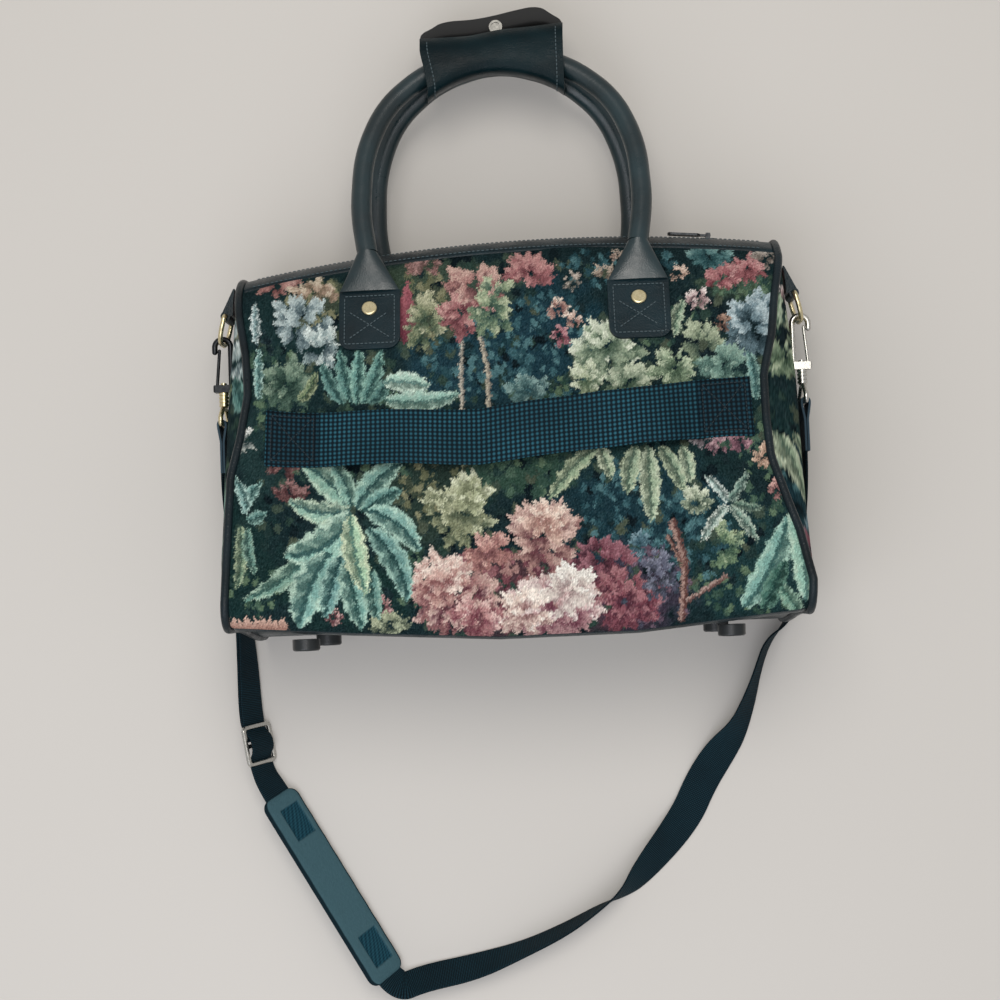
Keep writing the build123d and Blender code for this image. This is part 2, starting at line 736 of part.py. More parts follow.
strap_points = [
    Vector(x, y, resting(twist) if z is None else z) for x, y, z, twist, _ in strap_route
]
bends = []
for before, here, after, row in zip(strap_points, strap_points[1:], strap_points[2:], strap_route[1:]):
    into, out = here - before, after - here
    share = min(0.45 * min(into.length, out.length), row[4])
    bends.append(share / tan(radians(into.get_angle(out)) / 2))
strap_path = Wire(FilletPolyline(*strap_points, radius=bends).edges())
marks = [0.0]
for before, here in zip(strap_points, strap_points[1:]):
    marks.append(marks[-1] + (here - before).length)
marks = [mark * strap_path.length / marks[-1] for mark in marks]


def strap_frame(at):
    """Point, travel, width and face directions of the strap at a length along it."""
    at = min(max(at, 0.0), strap_path.length)
    share = at / strap_path.length
    point, travel = strap_path.position_at(share), strap_path.tangent_at(share)
    index = max(i for i, mark in enumerate(marks[:-1]) if mark <= at + 1e-9)
    part = (at - marks[index]) / (marks[index + 1] - marks[index])
    twist = radians(strap_route[index][3] * (1 - part) + strap_route[index + 1][3] * part)
    side = Vector(-travel.Y, travel.X, 0).normalized()
    width = side * cos(twist) + Vector(0, 0, 1) * sin(twist)
    width = (width - travel * width.dot(travel)).normalized()
    return point, travel, width, width.cross(travel)


def strap_plane(at):
    """Local frame of the strap: X along it, Y across it, Z off its upper face."""
    point, travel, width, face = strap_frame(at)
    return Plane(origin=point, x_dir=travel, z_dir=face)


def along_strap(y, low, high):
    """Length along the strap between two limits where it passes y."""
    for _ in range(40):
        middle = (low + high) / 2
        if strap_path.position_at(middle / strap_path.length).Y > y:
            low = middle
        else:
            high = middle
    return low


adjuster_at = along_strap(-82.4, 0, 260)
pad_at = along_strap(-191.5, 200, 420)
bar_edge = adjuster_length / 2 - adjuster_bar
slide_out = strap_wall / 2 + slide_gap + adjuster_wall / 2
over_bar = slide_out + adjuster_wall / 2 + 0.15 + 1.5 * strap_wall + 0.1


def lift(at):
    """How far the strap leaves its line where it climbs over the adjuster's middle bar."""
    share = (bar_edge + 0.7 - abs(at - adjuster_at)) / (bar_edge + 0.7 - 3.0)
    share = min(max(share, 0.0), 1.0)
    return over_bar * share * share * (3 - 2 * share)


def webbing(start, end, offset, climb):
    """A flat band along the strap, offset from its line, with its climb over the adjuster's bar."""

    def centre(at):
        point, _, _, face = strap_frame(at)
        return point + face * (offset + (lift(at) if climb else 0.0))

    def heading(at):
        back, ahead = max(at - 0.3, start), min(at + 0.3, end)
        return (centre(ahead) - centre(back)).normalized()

    wires, at = [], start
    while True:
        travel, width = heading(at), strap_frame(at)[2]
        width = (width - travel * width.dot(travel)).normalized()
        plane = Plane(origin=centre(at), x_dir=width, z_dir=travel)
        wires.append(Wire((plane * Rectangle(strap_width, strap_wall)).edges()))
        if at >= end:
            return Solid.make_loft(wires, ruled=True)
        step = 10.0
        while step > 1.2:
            there = min(at + step, end)
            if heading(there).get_angle(travel) < 9 and strap_frame(there)[2].get_angle(width) < 14:
                break
            step *= 0.7
        at = min(at + step, end) if end - at - step > 0.8 else end



main_ply = webbing(0.0, strap_path.length, 0.0, True)
loop_start = adjuster_at - 17.0
second_ply = webbing(0.0, loop_start, -strap_wall - ply_gap, False)

# The second ply's end loops round the adjuster's middle bar and is sewn back on itself
adjuster_plane = strap_plane(adjuster_at)
under_bar = slide_out - adjuster_wall / 2 - slide_gap - strap_wall / 2
round_bar = adjuster_bar / 2 + 0.15 + strap_wall / 2
above_bar = slide_out + adjuster_wall / 2 + 0.15 + strap_wall / 2
loop_line = FilletPolyline(
    (-17.0, -strap_wall - ply_gap),
    (-12.0, -strap_wall - ply_gap),
    (-5.0, under_bar),
    (round_bar, under_bar),
    (round_bar, above_bar),
    (-round_bar, above_bar),
    (-7.2, above_bar - 2.9),
    radius=[5, 5, 1.0, 1.0, 1.0],
)
loop_section = Plane(adjuster_plane.origin, adjuster_plane.x_dir, -adjuster_plane.y_dir) * trace(
    loop_line, strap_wall
)
bar_loop = extrude(loop_section, strap_width / 2, both=True)
nodes["shoulder_strap"] = Compound([main_ply, *(second_ply + bar_loop).solids()])

slide = Pos(0, 0, slide_out) * Box(adjuster_length, adjuster_width, adjuster_wall)
slide = fillet(slide.edges().filter_by(Axis.Z), 4)
opening = (adjuster_length - 3 * adjuster_bar) / 2
for side in (-1, 1):
    cut = Pos(side * (opening + adjuster_bar) / 2, 0, slide_out) * Box(opening, strap_width + 1.6, 9)
    slide -= fillet(cut.edges().filter_by(Axis.Z), 1.5)
slide = chamfer(slide.edges().group_by(Axis.Z)[-1], 0.5)
nodes["strap_adjuster"] = adjuster_plane * slide

pad = Box(pad_length, pad_width, pad_wall)
pad = fillet(pad.edges().filter_by(Axis.Z), 14)
pad = fillet(pad.edges().group_by(Axis.Z)[-1] + pad.edges().group_by(Axis.Z)[0], 1.4)
pad -= Box(pad_length + 10, strap_width + 2 * channel_gap, strap_wall + 2 * channel_gap)
for side in (-1, 1):
    centre_x = side * (pad_length / 2 - window_inset - window_length / 2)
    cut = Pos(centre_x, 0, pad_wall / 2) * Box(window_length, window_width, pad_wall)
    pad -= fillet(cut.edges().filter_by(Axis.Z), 2.0)
nodes["strap_pad"] = strap_plane(pad_at) * pad

# Origin: below the middle of the whole bag without its strap, on the surface that it lies on
loose = ("shoulder_strap", "strap_adjuster", "strap_pad", "left_strap_end", "right_strap_end")
boxes = [shape.bounding_box() for name, shape in nodes.items() if name not in loose]
middle_x = (min(box.min.X for box in boxes) + max(box.max.X for box in boxes)) / 2
middle_y = (min(box.min.Y for box in boxes) + max(box.max.Y for box in boxes)) / 2

os.makedirs("parts", exist_ok=True)
for name, shape in nodes.items():
    export_step(Pos(-middle_x, -middle_y, 0) * shape, f"parts/{name}.step")
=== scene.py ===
# %% [markdown]
# A small tapestry duffel with dark leather trim, lying on its front on a pale surface and seen from above.
# Lengths here are in millimetres from the bag's base plane, and `place` turns them into the frame's metres.

# %% Frame
from math import cos, hypot, pi, radians, sin

import bmesh
import bpy
import numpy as np
from mathutils import Matrix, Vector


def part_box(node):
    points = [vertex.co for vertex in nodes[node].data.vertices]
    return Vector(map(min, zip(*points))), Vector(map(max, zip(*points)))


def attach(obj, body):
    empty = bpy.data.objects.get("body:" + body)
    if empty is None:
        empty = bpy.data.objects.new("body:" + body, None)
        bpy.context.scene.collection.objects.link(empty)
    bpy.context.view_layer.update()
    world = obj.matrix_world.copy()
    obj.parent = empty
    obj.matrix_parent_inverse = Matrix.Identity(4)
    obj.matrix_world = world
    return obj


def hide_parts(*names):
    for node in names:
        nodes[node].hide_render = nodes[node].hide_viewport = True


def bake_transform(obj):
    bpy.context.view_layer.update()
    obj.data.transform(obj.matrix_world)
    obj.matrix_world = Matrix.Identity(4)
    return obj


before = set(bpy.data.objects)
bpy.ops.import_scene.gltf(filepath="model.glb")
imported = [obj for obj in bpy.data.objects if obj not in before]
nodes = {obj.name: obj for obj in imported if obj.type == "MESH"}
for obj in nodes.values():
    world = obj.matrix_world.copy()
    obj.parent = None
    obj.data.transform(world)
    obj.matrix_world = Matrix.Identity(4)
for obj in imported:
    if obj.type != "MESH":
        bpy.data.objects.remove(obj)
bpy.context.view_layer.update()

base_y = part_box("base_panel")[0][1] * 1000


def place(points):
    """Millimetres from the base plane to metres in the frame: p' = (p + (0, base_y, 0)) / 1000."""
    return (np.asarray(points, float) + (0.0, base_y, 0.0)) / 1000


def smooth(share):
    """Smoothstep: t t (3 - 2 t), with t kept between 0 and 1."""
    share = np.clip(share, 0, 1)
    return share * share * (3 - 2 * share)


def unit(vectors):
    return vectors / np.maximum(np.linalg.norm(vectors, axis=-1, keepdims=True), 1e-9)


def lengths_along(line):
    """Length from a line's start to each of its points."""
    return np.concatenate([[0], np.cumsum(np.linalg.norm(np.diff(line, axis=0), axis=1))])


# %% [markdown]
# The camera looks straight down on the bag. `photo` gives the pixel of a point, and `seen` the point of a
# pixel at a known height.

# %% Camera
EYE = np.array((28.0, 29.0, 1350.0))
LOOK = unit(np.array((-0.031, 0.0517, -1.0)))
ROLL = radians(2.1)
FOCAL = 1740.0
SIZE = 1000
RIGHT = unit(np.cross(LOOK, (sin(ROLL), cos(ROLL), 0.0)))
UP = np.cross(RIGHT, LOOK)


def photo(points):
    """Pixel of each point: 500 + F (p . right) / depth across, and 500 - F (p . up) / depth down."""
    ray = np.asarray(points, float) - EYE
    depth = ray @ LOOK
    return SIZE / 2 + FOCAL * (ray @ RIGHT) / depth, SIZE / 2 - FOCAL * (ray @ UP) / depth


def seen(px, py, z):
    """Point at height z on the ray through a pixel."""
    ray = LOOK + RIGHT * (px - SIZE / 2) / FOCAL - UP * (py - SIZE / 2) / FOCAL
    return EYE + ray * (z - EYE[2]) / ray[2]


camera = bpy.data.objects.new("camera", bpy.data.cameras.new("camera"))
bpy.context.scene.collection.objects.link(camera)
turn = Matrix([list(row) for row in np.stack([RIGHT, UP, -LOOK], axis=1)])
camera.matrix_world = Matrix.Translation(place(EYE).tolist()) @ turn.to_4x4()
camera.data.lens = camera.data.sensor_width * FOCAL / SIZE
camera.data.clip_end = 20
bpy.context.scene.camera = camera

# %% [markdown]
# Colours are written as hex and used as linear light. Each material is built from a few node helpers.

# %% Materials


def srgb(code):
    """Hex to sRGB shares of 1."""
    return np.array([int(code[i : i + 2], 16) / 255 for i in (1, 3, 5)])


def to_linear(value):
    """sRGB to linear: c / 12.92 below 0.04045, else ((c + 0.055) / 1.055) ** 2.4."""
    return np.where(value < 0.04045, value / 12.92, ((value + 0.055) / 1.055) ** 2.4)


def linear(code):
    return to_linear(srgb(code))


def rgba(code, shade=1.0):
    return (*(linear(code) * shade), 1.0)


class Nodes:
    """A material's node tree, with short calls that add a node and wire its inputs."""

    def __init__(self, name, **settings):
        self.material = bpy.data.materials.new(name)
        self.material.use_nodes = True
        self.tree = self.material.node_tree
        self.shader = self.tree.nodes["Principled BSDF"]
        for key, value in settings.items():
            self.shader.inputs[key.replace("_", " ")].default_value = value

    def feed(self, node, inputs):
        for key, value in inputs.items():
            if isinstance(value, bpy.types.NodeSocket):
                self.tree.links.new(value, node.inputs[key])
            else:
                node.inputs[key].default_value = value

    def add(self, kind, inputs=None, **settings):
        node = self.tree.nodes.new(kind)
        for key, value in settings.items():
            setattr(node, key, value)
        self.feed(node, inputs or {})
        return node

    def here(self, kind="Object", scale=(1, 1, 1)):
        """Object or UV coordinates, times a scale."""
        source = self.add("ShaderNodeTexCoord").outputs[kind]
        return self.add("ShaderNodeVectorMath", {0: source, 1: scale}, operation="MULTIPLY").outputs[0]

    def noise(self, vector, scale, detail=3.0, rough=0.55):
        inputs = {"Vector": vector, "Scale": scale, "Detail": detail, "Roughness": rough}
        return self.add("ShaderNodeTexNoise", inputs).outputs["Fac"]

    def cells(self, vector, scale):
        inputs = {"Vector": vector, "Scale": scale}
        return self.add("ShaderNodeTexVoronoi", inputs).outputs["Distance"]

    def bands(self, vector, scale, direction="X", distortion=0.0):
        inputs = {"Vector": vector, "Scale": scale, "Distortion": distortion}
        return self.add("ShaderNodeTexWave", inputs, bands_direction=direction).outputs["Fac"]

    def calc(self, operation, a, b=0.0):
        return self.add("ShaderNodeMath", {0: a, 1: b}, operation=operation).outputs[0]

    def spread(self, value, low, high, to_low=0.0, to_high=1.0):
        inputs = {"Value": value, 1: low, 2: high, 3: to_low, 4: to_high}
        return self.add("ShaderNodeMapRange", inputs).outputs[0]

    def mix(self, factor, a, b, blend="MIX"):
        node = self.add("ShaderNodeMix", data_type="RGBA", blend_type=blend)
        self.feed(node, {0: factor, 6: a, 7: b})
        return node.outputs[2]

    def wire(self, socket, value):
        self.tree.links.new(value, self.shader.inputs[socket])

    def bump(self, height, strength, distance):
        inputs = {"Height": height, "Strength": strength, "Distance": distance}
        self.wire("Normal", self.add("ShaderNodeBump", inputs).outputs[0])


def leather(name, code, light, rough, gloss=0.22, grained=0.35):
    """Dark leather: fine grain and wrinkles, slow changes of tone between two colours, and scuffs."""
    n = Nodes(name, Roughness=rough, Specular_IOR_Level=gloss)
    here = n.here()
    grain = n.cells(here, 900)
    wrinkle = n.noise(here, 140, 4)
    tone = n.spread(n.noise(here, 22, 3), 0.35, 0.7)
    colour = n.mix(tone, rgba(code), rgba(light))
    n.wire("Base Color", colour)
    scuff = n.spread(n.noise(here, 60, 5, 0.7), 0.3, 0.7, rough - 0.1, rough + 0.16)
    n.wire("Roughness", scuff)
    n.bump(n.calc("ADD", grain, n.calc("MULTIPLY", wrinkle, 1.6)), grained, 0.0006)
    return n.material


def metal(name, code, rough, wear_and_shade="#d9cfae"):
    """Plated metal with a fine uneven polish."""
    n = Nodes(name, Metallic=1.0)
    here = n.here()
    n.wire("Base Color", n.mix(n.noise(here, 300, 2), rgba(code), rgba(wear_and_shade)))
    n.wire("Roughness", n.spread(n.noise(here, 500, 4), 0.3, 0.7, rough - 0.06, rough + 0.1))
    n.bump(n.noise(here, 700, 3), 0.15, 0.0002)
    return n.material


def webbing(name, dark, bright, mesh_size):
    """Flat webbing: U runs along it and V across, in millimetres, as plaited diagonal threads, with large
    lighter and darker patches as painted shade.
    """
    n = Nodes(name, Roughness=0.72, Specular_IOR_Level=0.1)
    here = n.here("UV")
    across = n.bands(here, 0.25 / mesh_size, "Y", 0.5)
    along = n.bands(here, 0.235 / mesh_size, "X", 0.4)
    thread = n.calc("MULTIPLY", n.calc("ADD", across, 0.5), n.calc("ADD", along, 0.35))
    # Painted shade: large patches where the threads are darker.
    wear_and_shade = n.spread(n.noise(here, 0.02, 2), 0.3, 0.7, 0.55, 1.0)
    lit = n.calc("MULTIPLY", n.spread(thread, 0.5, 1.9), wear_and_shade)
    n.wire("Base Color", n.mix(lit, rgba(dark), rgba(bright)))
    n.bump(thread, 0.6, 0.0005)
    return n.material


def cloth_from_dye(name, rib_scale=560.0):
    """Tapestry: the dyed colour of each point, broken by its ribs and by slubs in the yarn."""
    n = Nodes(name, Roughness=0.93, Specular_IOR_Level=0.03)
    dye = n.add("ShaderNodeAttribute", attribute_name="dye").outputs["Color"]
    here = n.here()
    ribs = n.bands(here, rib_scale / 2, "X", 0.5)
    picks = n.bands(here, rib_scale / 1.3, "Y", 0.8)
    slub = n.noise(n.here(scale=(1, 0.35, 1)), 900, 3, 0.6)
    knit = n.calc("ADD", n.calc("MULTIPLY", ribs, picks), slub)
    shade = n.spread(knit, 0.25, 1.3, 0.72, 1.22)
    tint = n.add("ShaderNodeCombineColor", {0: shade, 1: shade, 2: shade}).outputs[0]
    n.wire("Base Color", n.mix(1.0, dye, tint, "MULTIPLY"))
    n.bump(knit, 0.55, 0.0007)
    return n.material


def plain(name, code, rough, bump_scale=400.0, bump=0.2):
    """A moulded or painted surface with slight unevenness."""
    n = Nodes(name, Roughness=rough)
    here = n.here()
    tone = n.noise(here, 35, 3)
    n.wire("Base Color", n.mix(tone, rgba(code, 0.75), rgba(code)))
    n.bump(n.noise(here, bump_scale, 4), bump, 0.0005)
    return n.material


LEATHER = leather("leather", "#07151a", "#0e242b", 0.33)
HANDLE = leather("handle_leather", "#0c1c20", "#172d32", 0.32, 0.52, 0.12)
WRAP = leather("wrap_leather", "#051317", "#0a2025", 0.34, 0.1, 0.3)
PIPING = leather("piping", "#0a1216", "#132127", 0.34)
TAPESTRY = cloth_from_dye("tapestry")
WEBBING = webbing("webbing", "#050e13", "#1f4654", 1.0)
SLEEVE_WEB = webbing("sleeve_webbing", "#06161e", "#2b6070", 2.5)
# The sewn ends take a darker copy of the sleeve's webbing: painted shade.
SLEEVE_END_SHADED = webbing("sleeve_end_webbing", "#040f16", "#1d4452", 2.5)
PALE_GOLD = metal("pale_gold", "#c9b98c", 0.26)
SILVER = metal("silver", "#a9a9a6", 0.24, "#c9c7c0")
THREAD = plain("thread", "#46565b", 0.7)
DARK_THREAD = plain("dark_thread", "#12242c", 0.8)
PAD = plain("pad", "#41606a", 0.55, 900.0, 0.35)
LINING = plain("lining", "#22252a", 0.9)
ZIP = plain("zip", "#0d1316", 0.8)
BOARD = plain("board", "#5f564a", 0.8)

# %% [markdown]
# Meshes are built from grids of points. `panel` makes a closed solid from a grid of its outer face.

# %% Mesh helpers


def build(name, points, faces, material, body="bag"):
    """An object from points in millimetres and a list of faces, turned outwards and riding on a body."""
    mesh = bpy.data.meshes.new(name)
    mesh.from_pydata(place(points).tolist(), [], faces)
    mesh.update()
    mesh.materials.append(material)
    work = bmesh.new()
    work.from_mesh(mesh)
    bmesh.ops.recalc_face_normals(work, faces=work.faces)
    work.to_mesh(mesh)
    work.free()
    mesh.shade_smooth()
    piece = bpy.data.objects.new(name, mesh)
    bpy.context.scene.collection.objects.link(piece)
    if body:
        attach(piece, body)
    return piece


def quads(rows, columns, start=0, wrap_rows=False, wrap_columns=False):
    """Faces of a grid of points numbered row by row, joined round where it wraps."""
    last_row = rows if wrap_rows else rows - 1
    last_column = columns if wrap_columns else columns - 1
    i, j = np.meshgrid(np.arange(last_row), np.arange(last_column), indexing="ij")
    a = i * columns + j
    b = i * columns + (j + 1) % columns
    c = ((i + 1) % rows) * columns + (j + 1) % columns
    d = ((i + 1) % rows) * columns + j
    return (np.stack([a, b, c, d], axis=-1).reshape(-1, 4) + start).tolist()


def outward(grid, axis, way=1.0, at=None):
    """Unit normals (dp/drow) x (dp/dcolumn), turned so that the middle one points way along an axis."""
    normals = unit(np.cross(np.gradient(grid, axis=0), np.gradient(grid, axis=1)))
    row, column = at or (grid.shape[0] // 2, grid.shape[1] // 2)
    return normals * np.sign(normals[row, column, axis]) * way


def rim_of(rows, columns):
    """Numbers of a grid's border points, once round it."""
    top = list(range(columns))
    right = [i * columns + columns - 1 for i in range(1, rows)]
    bottom = [(rows - 1) * columns + j for j in range(columns - 2, -1, -1)]
    left = [i * columns for i in range(rows - 2, 0, -1)]
    return top + right + bottom + left


def panel(name, grid, normals, depth, material):
    """Closed solid: the grid as its outer face, a rim depth deep, and long ruled strips behind."""
    rows, columns = grid.shape[:2]
    outer = grid.reshape(-1, 3)
    rim = rim_of(rows, columns)
    inner = outer[rim] - normals.reshape(-1, 3)[rim] * depth
    points = np.concatenate([outer, inner])
    count = rows * columns
    order = {number: count + k for k, number in enumerate(rim)}
    faces = quads(rows, columns)
    for a, b in zip(rim, rim[1:] + rim[:1]):
        faces.append([b, a, order[a], order[b]])
    last = rows - 1
    for i in range(1, last - 1):
        row, nxt = i * columns, (i + 1) * columns
        faces.append([order[row], order[nxt], order[nxt + columns - 1], order[row + columns - 1]])
    first = [order[j] for j in range(columns)]
    faces.append([order[columns], order[2 * columns - 1]] + first[::-1])
    end = [order[last * columns + j] for j in range(columns)]
    row = (last - 1) * columns
    faces.append([order[row + columns - 1], order[row]] + end)
    return build(name, points, faces, material)


def sheet(name, grid, normals, wall, material, uv=None):
    """Closed solid from two grids a wall apart, the given one outside."""
    rows, columns = grid.shape[:2]
    count = rows * columns
    points = np.concatenate([grid.reshape(-1, 3), (grid - normals * wall).reshape(-1, 3)])
    faces = quads(rows, columns)
    faces += [face[::-1] for face in quads(rows, columns, count)]
    rim = rim_of(rows, columns)
    faces += [[b, a, a + count, b + count] for a, b in zip(rim, rim[1:] + rim[:1])]
    piece = build(name, points, faces, material)
    if uv is not None:
        set_uv(piece, np.concatenate([uv.reshape(-1, 2)] * 2))
    return piece


def closed_cord(name, path, radius, sides, material):
    """Round cord along a closed path: ring k is path[k] + r (a cos t + b sin t), a and b square to it."""
    travel = unit(np.roll(path, -1, axis=0) - np.roll(path, 1, axis=0))
    side = unit(np.cross(travel, (1, 0, 0)))
    over = np.cross(side, travel)
    angle = np.linspace(0, 2 * pi, sides, endpoint=False)[None, :, None]
    rings = path[:, None] + radius * (side[:, None] * np.cos(angle) + over[:, None] * np.sin(angle))
    faces = quads(len(path), sides, wrap_rows=True, wrap_columns=True)
    return build(name, rings.reshape(-1, 3), faces, material)


def spline(name, points):
    """Points read back from a curve with these control points."""
    curve = bpy.data.curves.new(name, "CURVE")
    curve.dimensions = "3D"
    curve.resolution_u = 12
    line = curve.splines.new("NURBS")
    line.points.add(len(points) - 1)
    line.points.foreach_set("co", [value for point in points for value in (*point, 1.0)])
    line.order_u = 3
    line.use_endpoint_u = True
    holder = bpy.data.objects.new(name, curve)
    mesh = bpy.data.meshes.new_from_object(holder)
    found = np.zeros(len(mesh.vertices) * 3)
    mesh.vertices.foreach_get("co", found)
    bpy.data.meshes.remove(mesh)
    bpy.data.objects.remove(holder)
    bpy.data.curves.remove(curve)
    return found.reshape(-1, 3)


def set_uv(piece, values):
    """Gives each corner the U and V of its point."""
    mesh = piece.data
    corners = np.zeros(len(mesh.loops), dtype=int)
    mesh.loops.foreach_get("vertex_index", corners)
    layer = mesh.uv_layers.new(name="weave")
    layer.data.foreach_set("uv", values[corners].astype(np.float32).ravel())


def set_colour(piece, values):
    """Stores linear colours on the points, as the attribute that the tapestry reads."""
    layer = piece.data.attributes.new("dye", "FLOAT_COLOR", "POINT")
    full = np.ones((len(piece.data.vertices), 4), dtype=np.float32)
    full[:, :3] = np.resize(values[-1:], (len(full), 3))
    full[: len(values), :3] = values
    layer.data.foreach_set("color", full.ravel())


# %% [markdown]
# The bag's skin: the CAD outline at each station, then the slump of soft cloth. The outline's parameter q
# runs 0 to 6: base, near corner, near wall, rounded top, far wall, far corner.

# %% Skin
CREST_X, CREST, RIDGE_RADIUS = 42.0, 288.0, 1255.0
TOP, CORNER, FLOOR_GAP, DEPTH = 54.0, 18.0, 2.5, 183.0
RIDGE_Z = FLOOR_GAP + TOP
NEAR_Z, FAR_Z = FLOOR_GAP + DEPTH - CORNER, FLOOR_GAP + CORNER
SEAM_Y = 2.2
BAND_LOW, BAND_HIGH = 5.0, 33.0
# Middle between the handles' ends along X, and the ends' distance from it on each side
ARCH_SHIFT, NEAR_ARCH, FAR_ARCH = -2.5, 96.5, 92.0


def ridge(x):
    return CREST - RIDGE_RADIUS + np.sqrt(RIDGE_RADIUS**2 - (x - CREST_X) ** 2)


def wall_angle(x):
    """Angle of the near wall's normal, from the two corner circles that it touches."""
    dy, dz = ridge(x) - TOP - CORNER, RIDGE_Z - NEAR_Z
    span = np.hypot(dy, dz)
    along = (CORNER - TOP) / span
    across = np.sqrt(1 - along**2)
    return np.arctan2(dz * along + dy * across, dy * along - dz * across)


def outline(x, q):
    """Points (y, z) and normals of the end view at x: centre + radius (cos a, sin a) on its arcs."""
    x, q = np.broadcast_arrays(np.asarray(x, float), np.asarray(q, float))
    tilt = wall_angle(x)
    crown = ridge(x) - TOP
    part = np.floor(np.minimum(q, 5.999)).astype(int)
    f = np.clip(q - part, 0, 1)
    parts = [part == k for k in range(5)]
    turns = [pi + 0 * f, pi + (tilt - pi) * f, tilt, tilt - (pi / 2 + tilt) * f, 0 * f - pi / 2]
    angle = np.select(parts, turns, -pi / 2 - pi / 2 * f)
    mix = np.select(parts, [0 * f, 0 * f, f, 1 + 0 * f, 1 - f], 0 * f)
    low_z = np.select([part == 0, part >= 4], [FAR_Z + (NEAR_Z - FAR_Z) * f, FAR_Z + 0 * f], NEAR_Z)
    radius = CORNER + (TOP - CORNER) * mix
    y = CORNER + (crown - CORNER) * mix + radius * np.cos(angle)
    z = low_z + (RIDGE_Z - low_z) * mix + radius * np.sin(angle)
    return y, z, np.cos(angle), np.sin(angle)


PINCH_Y = (0, 22, 62, 114, 143, 173, 203, 235, 262)
PINCH_LEFT = (199, 198, 198.5, 198, 192, 188, 190, 196, 199)
PINCH_RIGHT = (200, 201, 195, 180, 179, 180, 188, 192, 199)
SAG_X = (-200, -193, -112, -12, 82, 193, 200)
SAG_Y = (12, 7.5, 1.6, -4.5, -3.5, 7, 10)
# Creases: middle x and y, angle in degrees, half length, half width, height
CREASES = (
    (-150, 205, 70, 60, 13, -3.2),
    (-60, 215, 95, 45, 16, 2.4),
    (8, 228, 88, 50, 22, -3.0),
    (70, 205, 80, 55, 15, 2.2),
    (150, 150, 20, 60, 16, -4.5),
    (160, 100, -25, 55, 14, 3.5),
    (120, 195, 60, 50, 14, -2.5),
    (-165, 60, -50, 50, 14, -3.0),
    (-120, 35, 15, 70, 12, 2.5),
    (30, 30, -5, 90, 14, 2.6),
    (150, 40, 40, 50, 12, -2.8),
    (-20, 85, 10, 110, 20, -2.6),
    (90, 90, -30, 60, 16, 2.2),
    (-110, 100, 25, 60, 18, 2.0),
)


def relief(x, y):
    """Height of the cloth's creases: sum of h exp(-(u/l)^4 - (v/w)^2) in each crease's own axes."""
    height = 1.1 * np.sin(x / 31 + 0.6 * np.sin(y / 37)) * np.sin(y / 43 + 1.3)
    for cx, cy, turn_by, length, width, rise in CREASES:
        c, s = cos(radians(turn_by)), sin(radians(turn_by))
        u = ((x - cx) * c + (y - cy) * s) / length
        v = ((y - cy) * c - (x - cx) * s) / width
        height = height + rise * np.exp(-(u**4) - v**2)
    return np.where(height < 0, 0.9 * np.tanh(height / 0.9), height * 1.25)


def slump(x, y, z, grip=1.0):
    """Soft cloth gives way: the upper edges draw in along X, and the near base edge sags along Y."""
    high = smooth((z - 55) / 75) * grip
    edge = np.where(x < 0, np.interp(y, PINCH_Y, PINCH_LEFT), np.interp(y, PINCH_Y, PINCH_RIGHT)) / 200
    shift = np.interp(x, SAG_X, SAG_Y) * smooth((z - 30) / 110) * smooth((80 - y) / 75)
    draw = (edge - 1) * high * smooth((np.abs(x) - 20) / 180)
    return x * (1 + draw), y + shift, z


def skin(x, q, outset=0.0, creased=True):
    """Skin points at stations x and outline parameters q, moved out by outset."""
    x, q = np.broadcast_arrays(np.asarray(x, float), np.asarray(q, float))
    y, z, ny, nz = outline(x, q)
    if creased:
        quiet = smooth((195 - np.abs(x)) / 30) * smooth((z - 75) / 40) * smooth((y - 4) / 22)
        tabs = np.exp(-(((np.abs(x - ARCH_SHIFT) - NEAR_ARCH) / 34) ** 4) - ((y - 228) / 36) ** 4)
        outset = outset + relief(x, y) * (quiet * (1 - tabs))
    return np.stack(slump(x, y + ny * outset, z + nz * outset), axis=-1)


def q_at(x, y):
    """Outline parameter of the near side at height y: on the wall, or on the rounded top."""
    tilt = wall_angle(x)
    crown = ridge(x) - TOP
    foot, head = CORNER + CORNER * np.cos(tilt), crown + TOP * np.cos(tilt)
    on_wall = 2 + (y - foot) / (head - foot)
    angle = np.arccos(np.clip((y - crown) / TOP, -1, 1))
    on_top = 3 + (tilt - angle) / (tilt + pi / 2)
    low = np.arccos(np.clip((y - CORNER) / CORNER, -1, 1))
    on_corner = 1 + (pi - low) / (pi - tilt)
    return np.where(y < foot, on_corner, np.where(y < head, on_wall, on_top))


def near_patch(x, y, outset=0.0):
    """Skin of the near panel at plan places: x is stepped back until the slumped point lies over it."""
    start = np.asarray(x, float)
    for _ in range(5):
        start = start + x - skin(start, q_at(start, y))[..., 0]
    return skin(start, q_at(start, y), outset)


def top_q(x, z_over):
    """Outline parameter on the rounded top where z is that far over the ridge's middle."""
    tilt = wall_angle(x)
    return 3 + (tilt - np.arcsin(z_over / TOP)) / (tilt + pi / 2)


# %% [markdown]
# The tapestry is painted on its grid of points, with each motif placed by its pixel in the photograph:
# washes of ground colour, trunks, clumps of small leaves, long leaves with pale edges, and blossoms.

# %% Tapestry
grain_rng = np.random.default_rng(11)


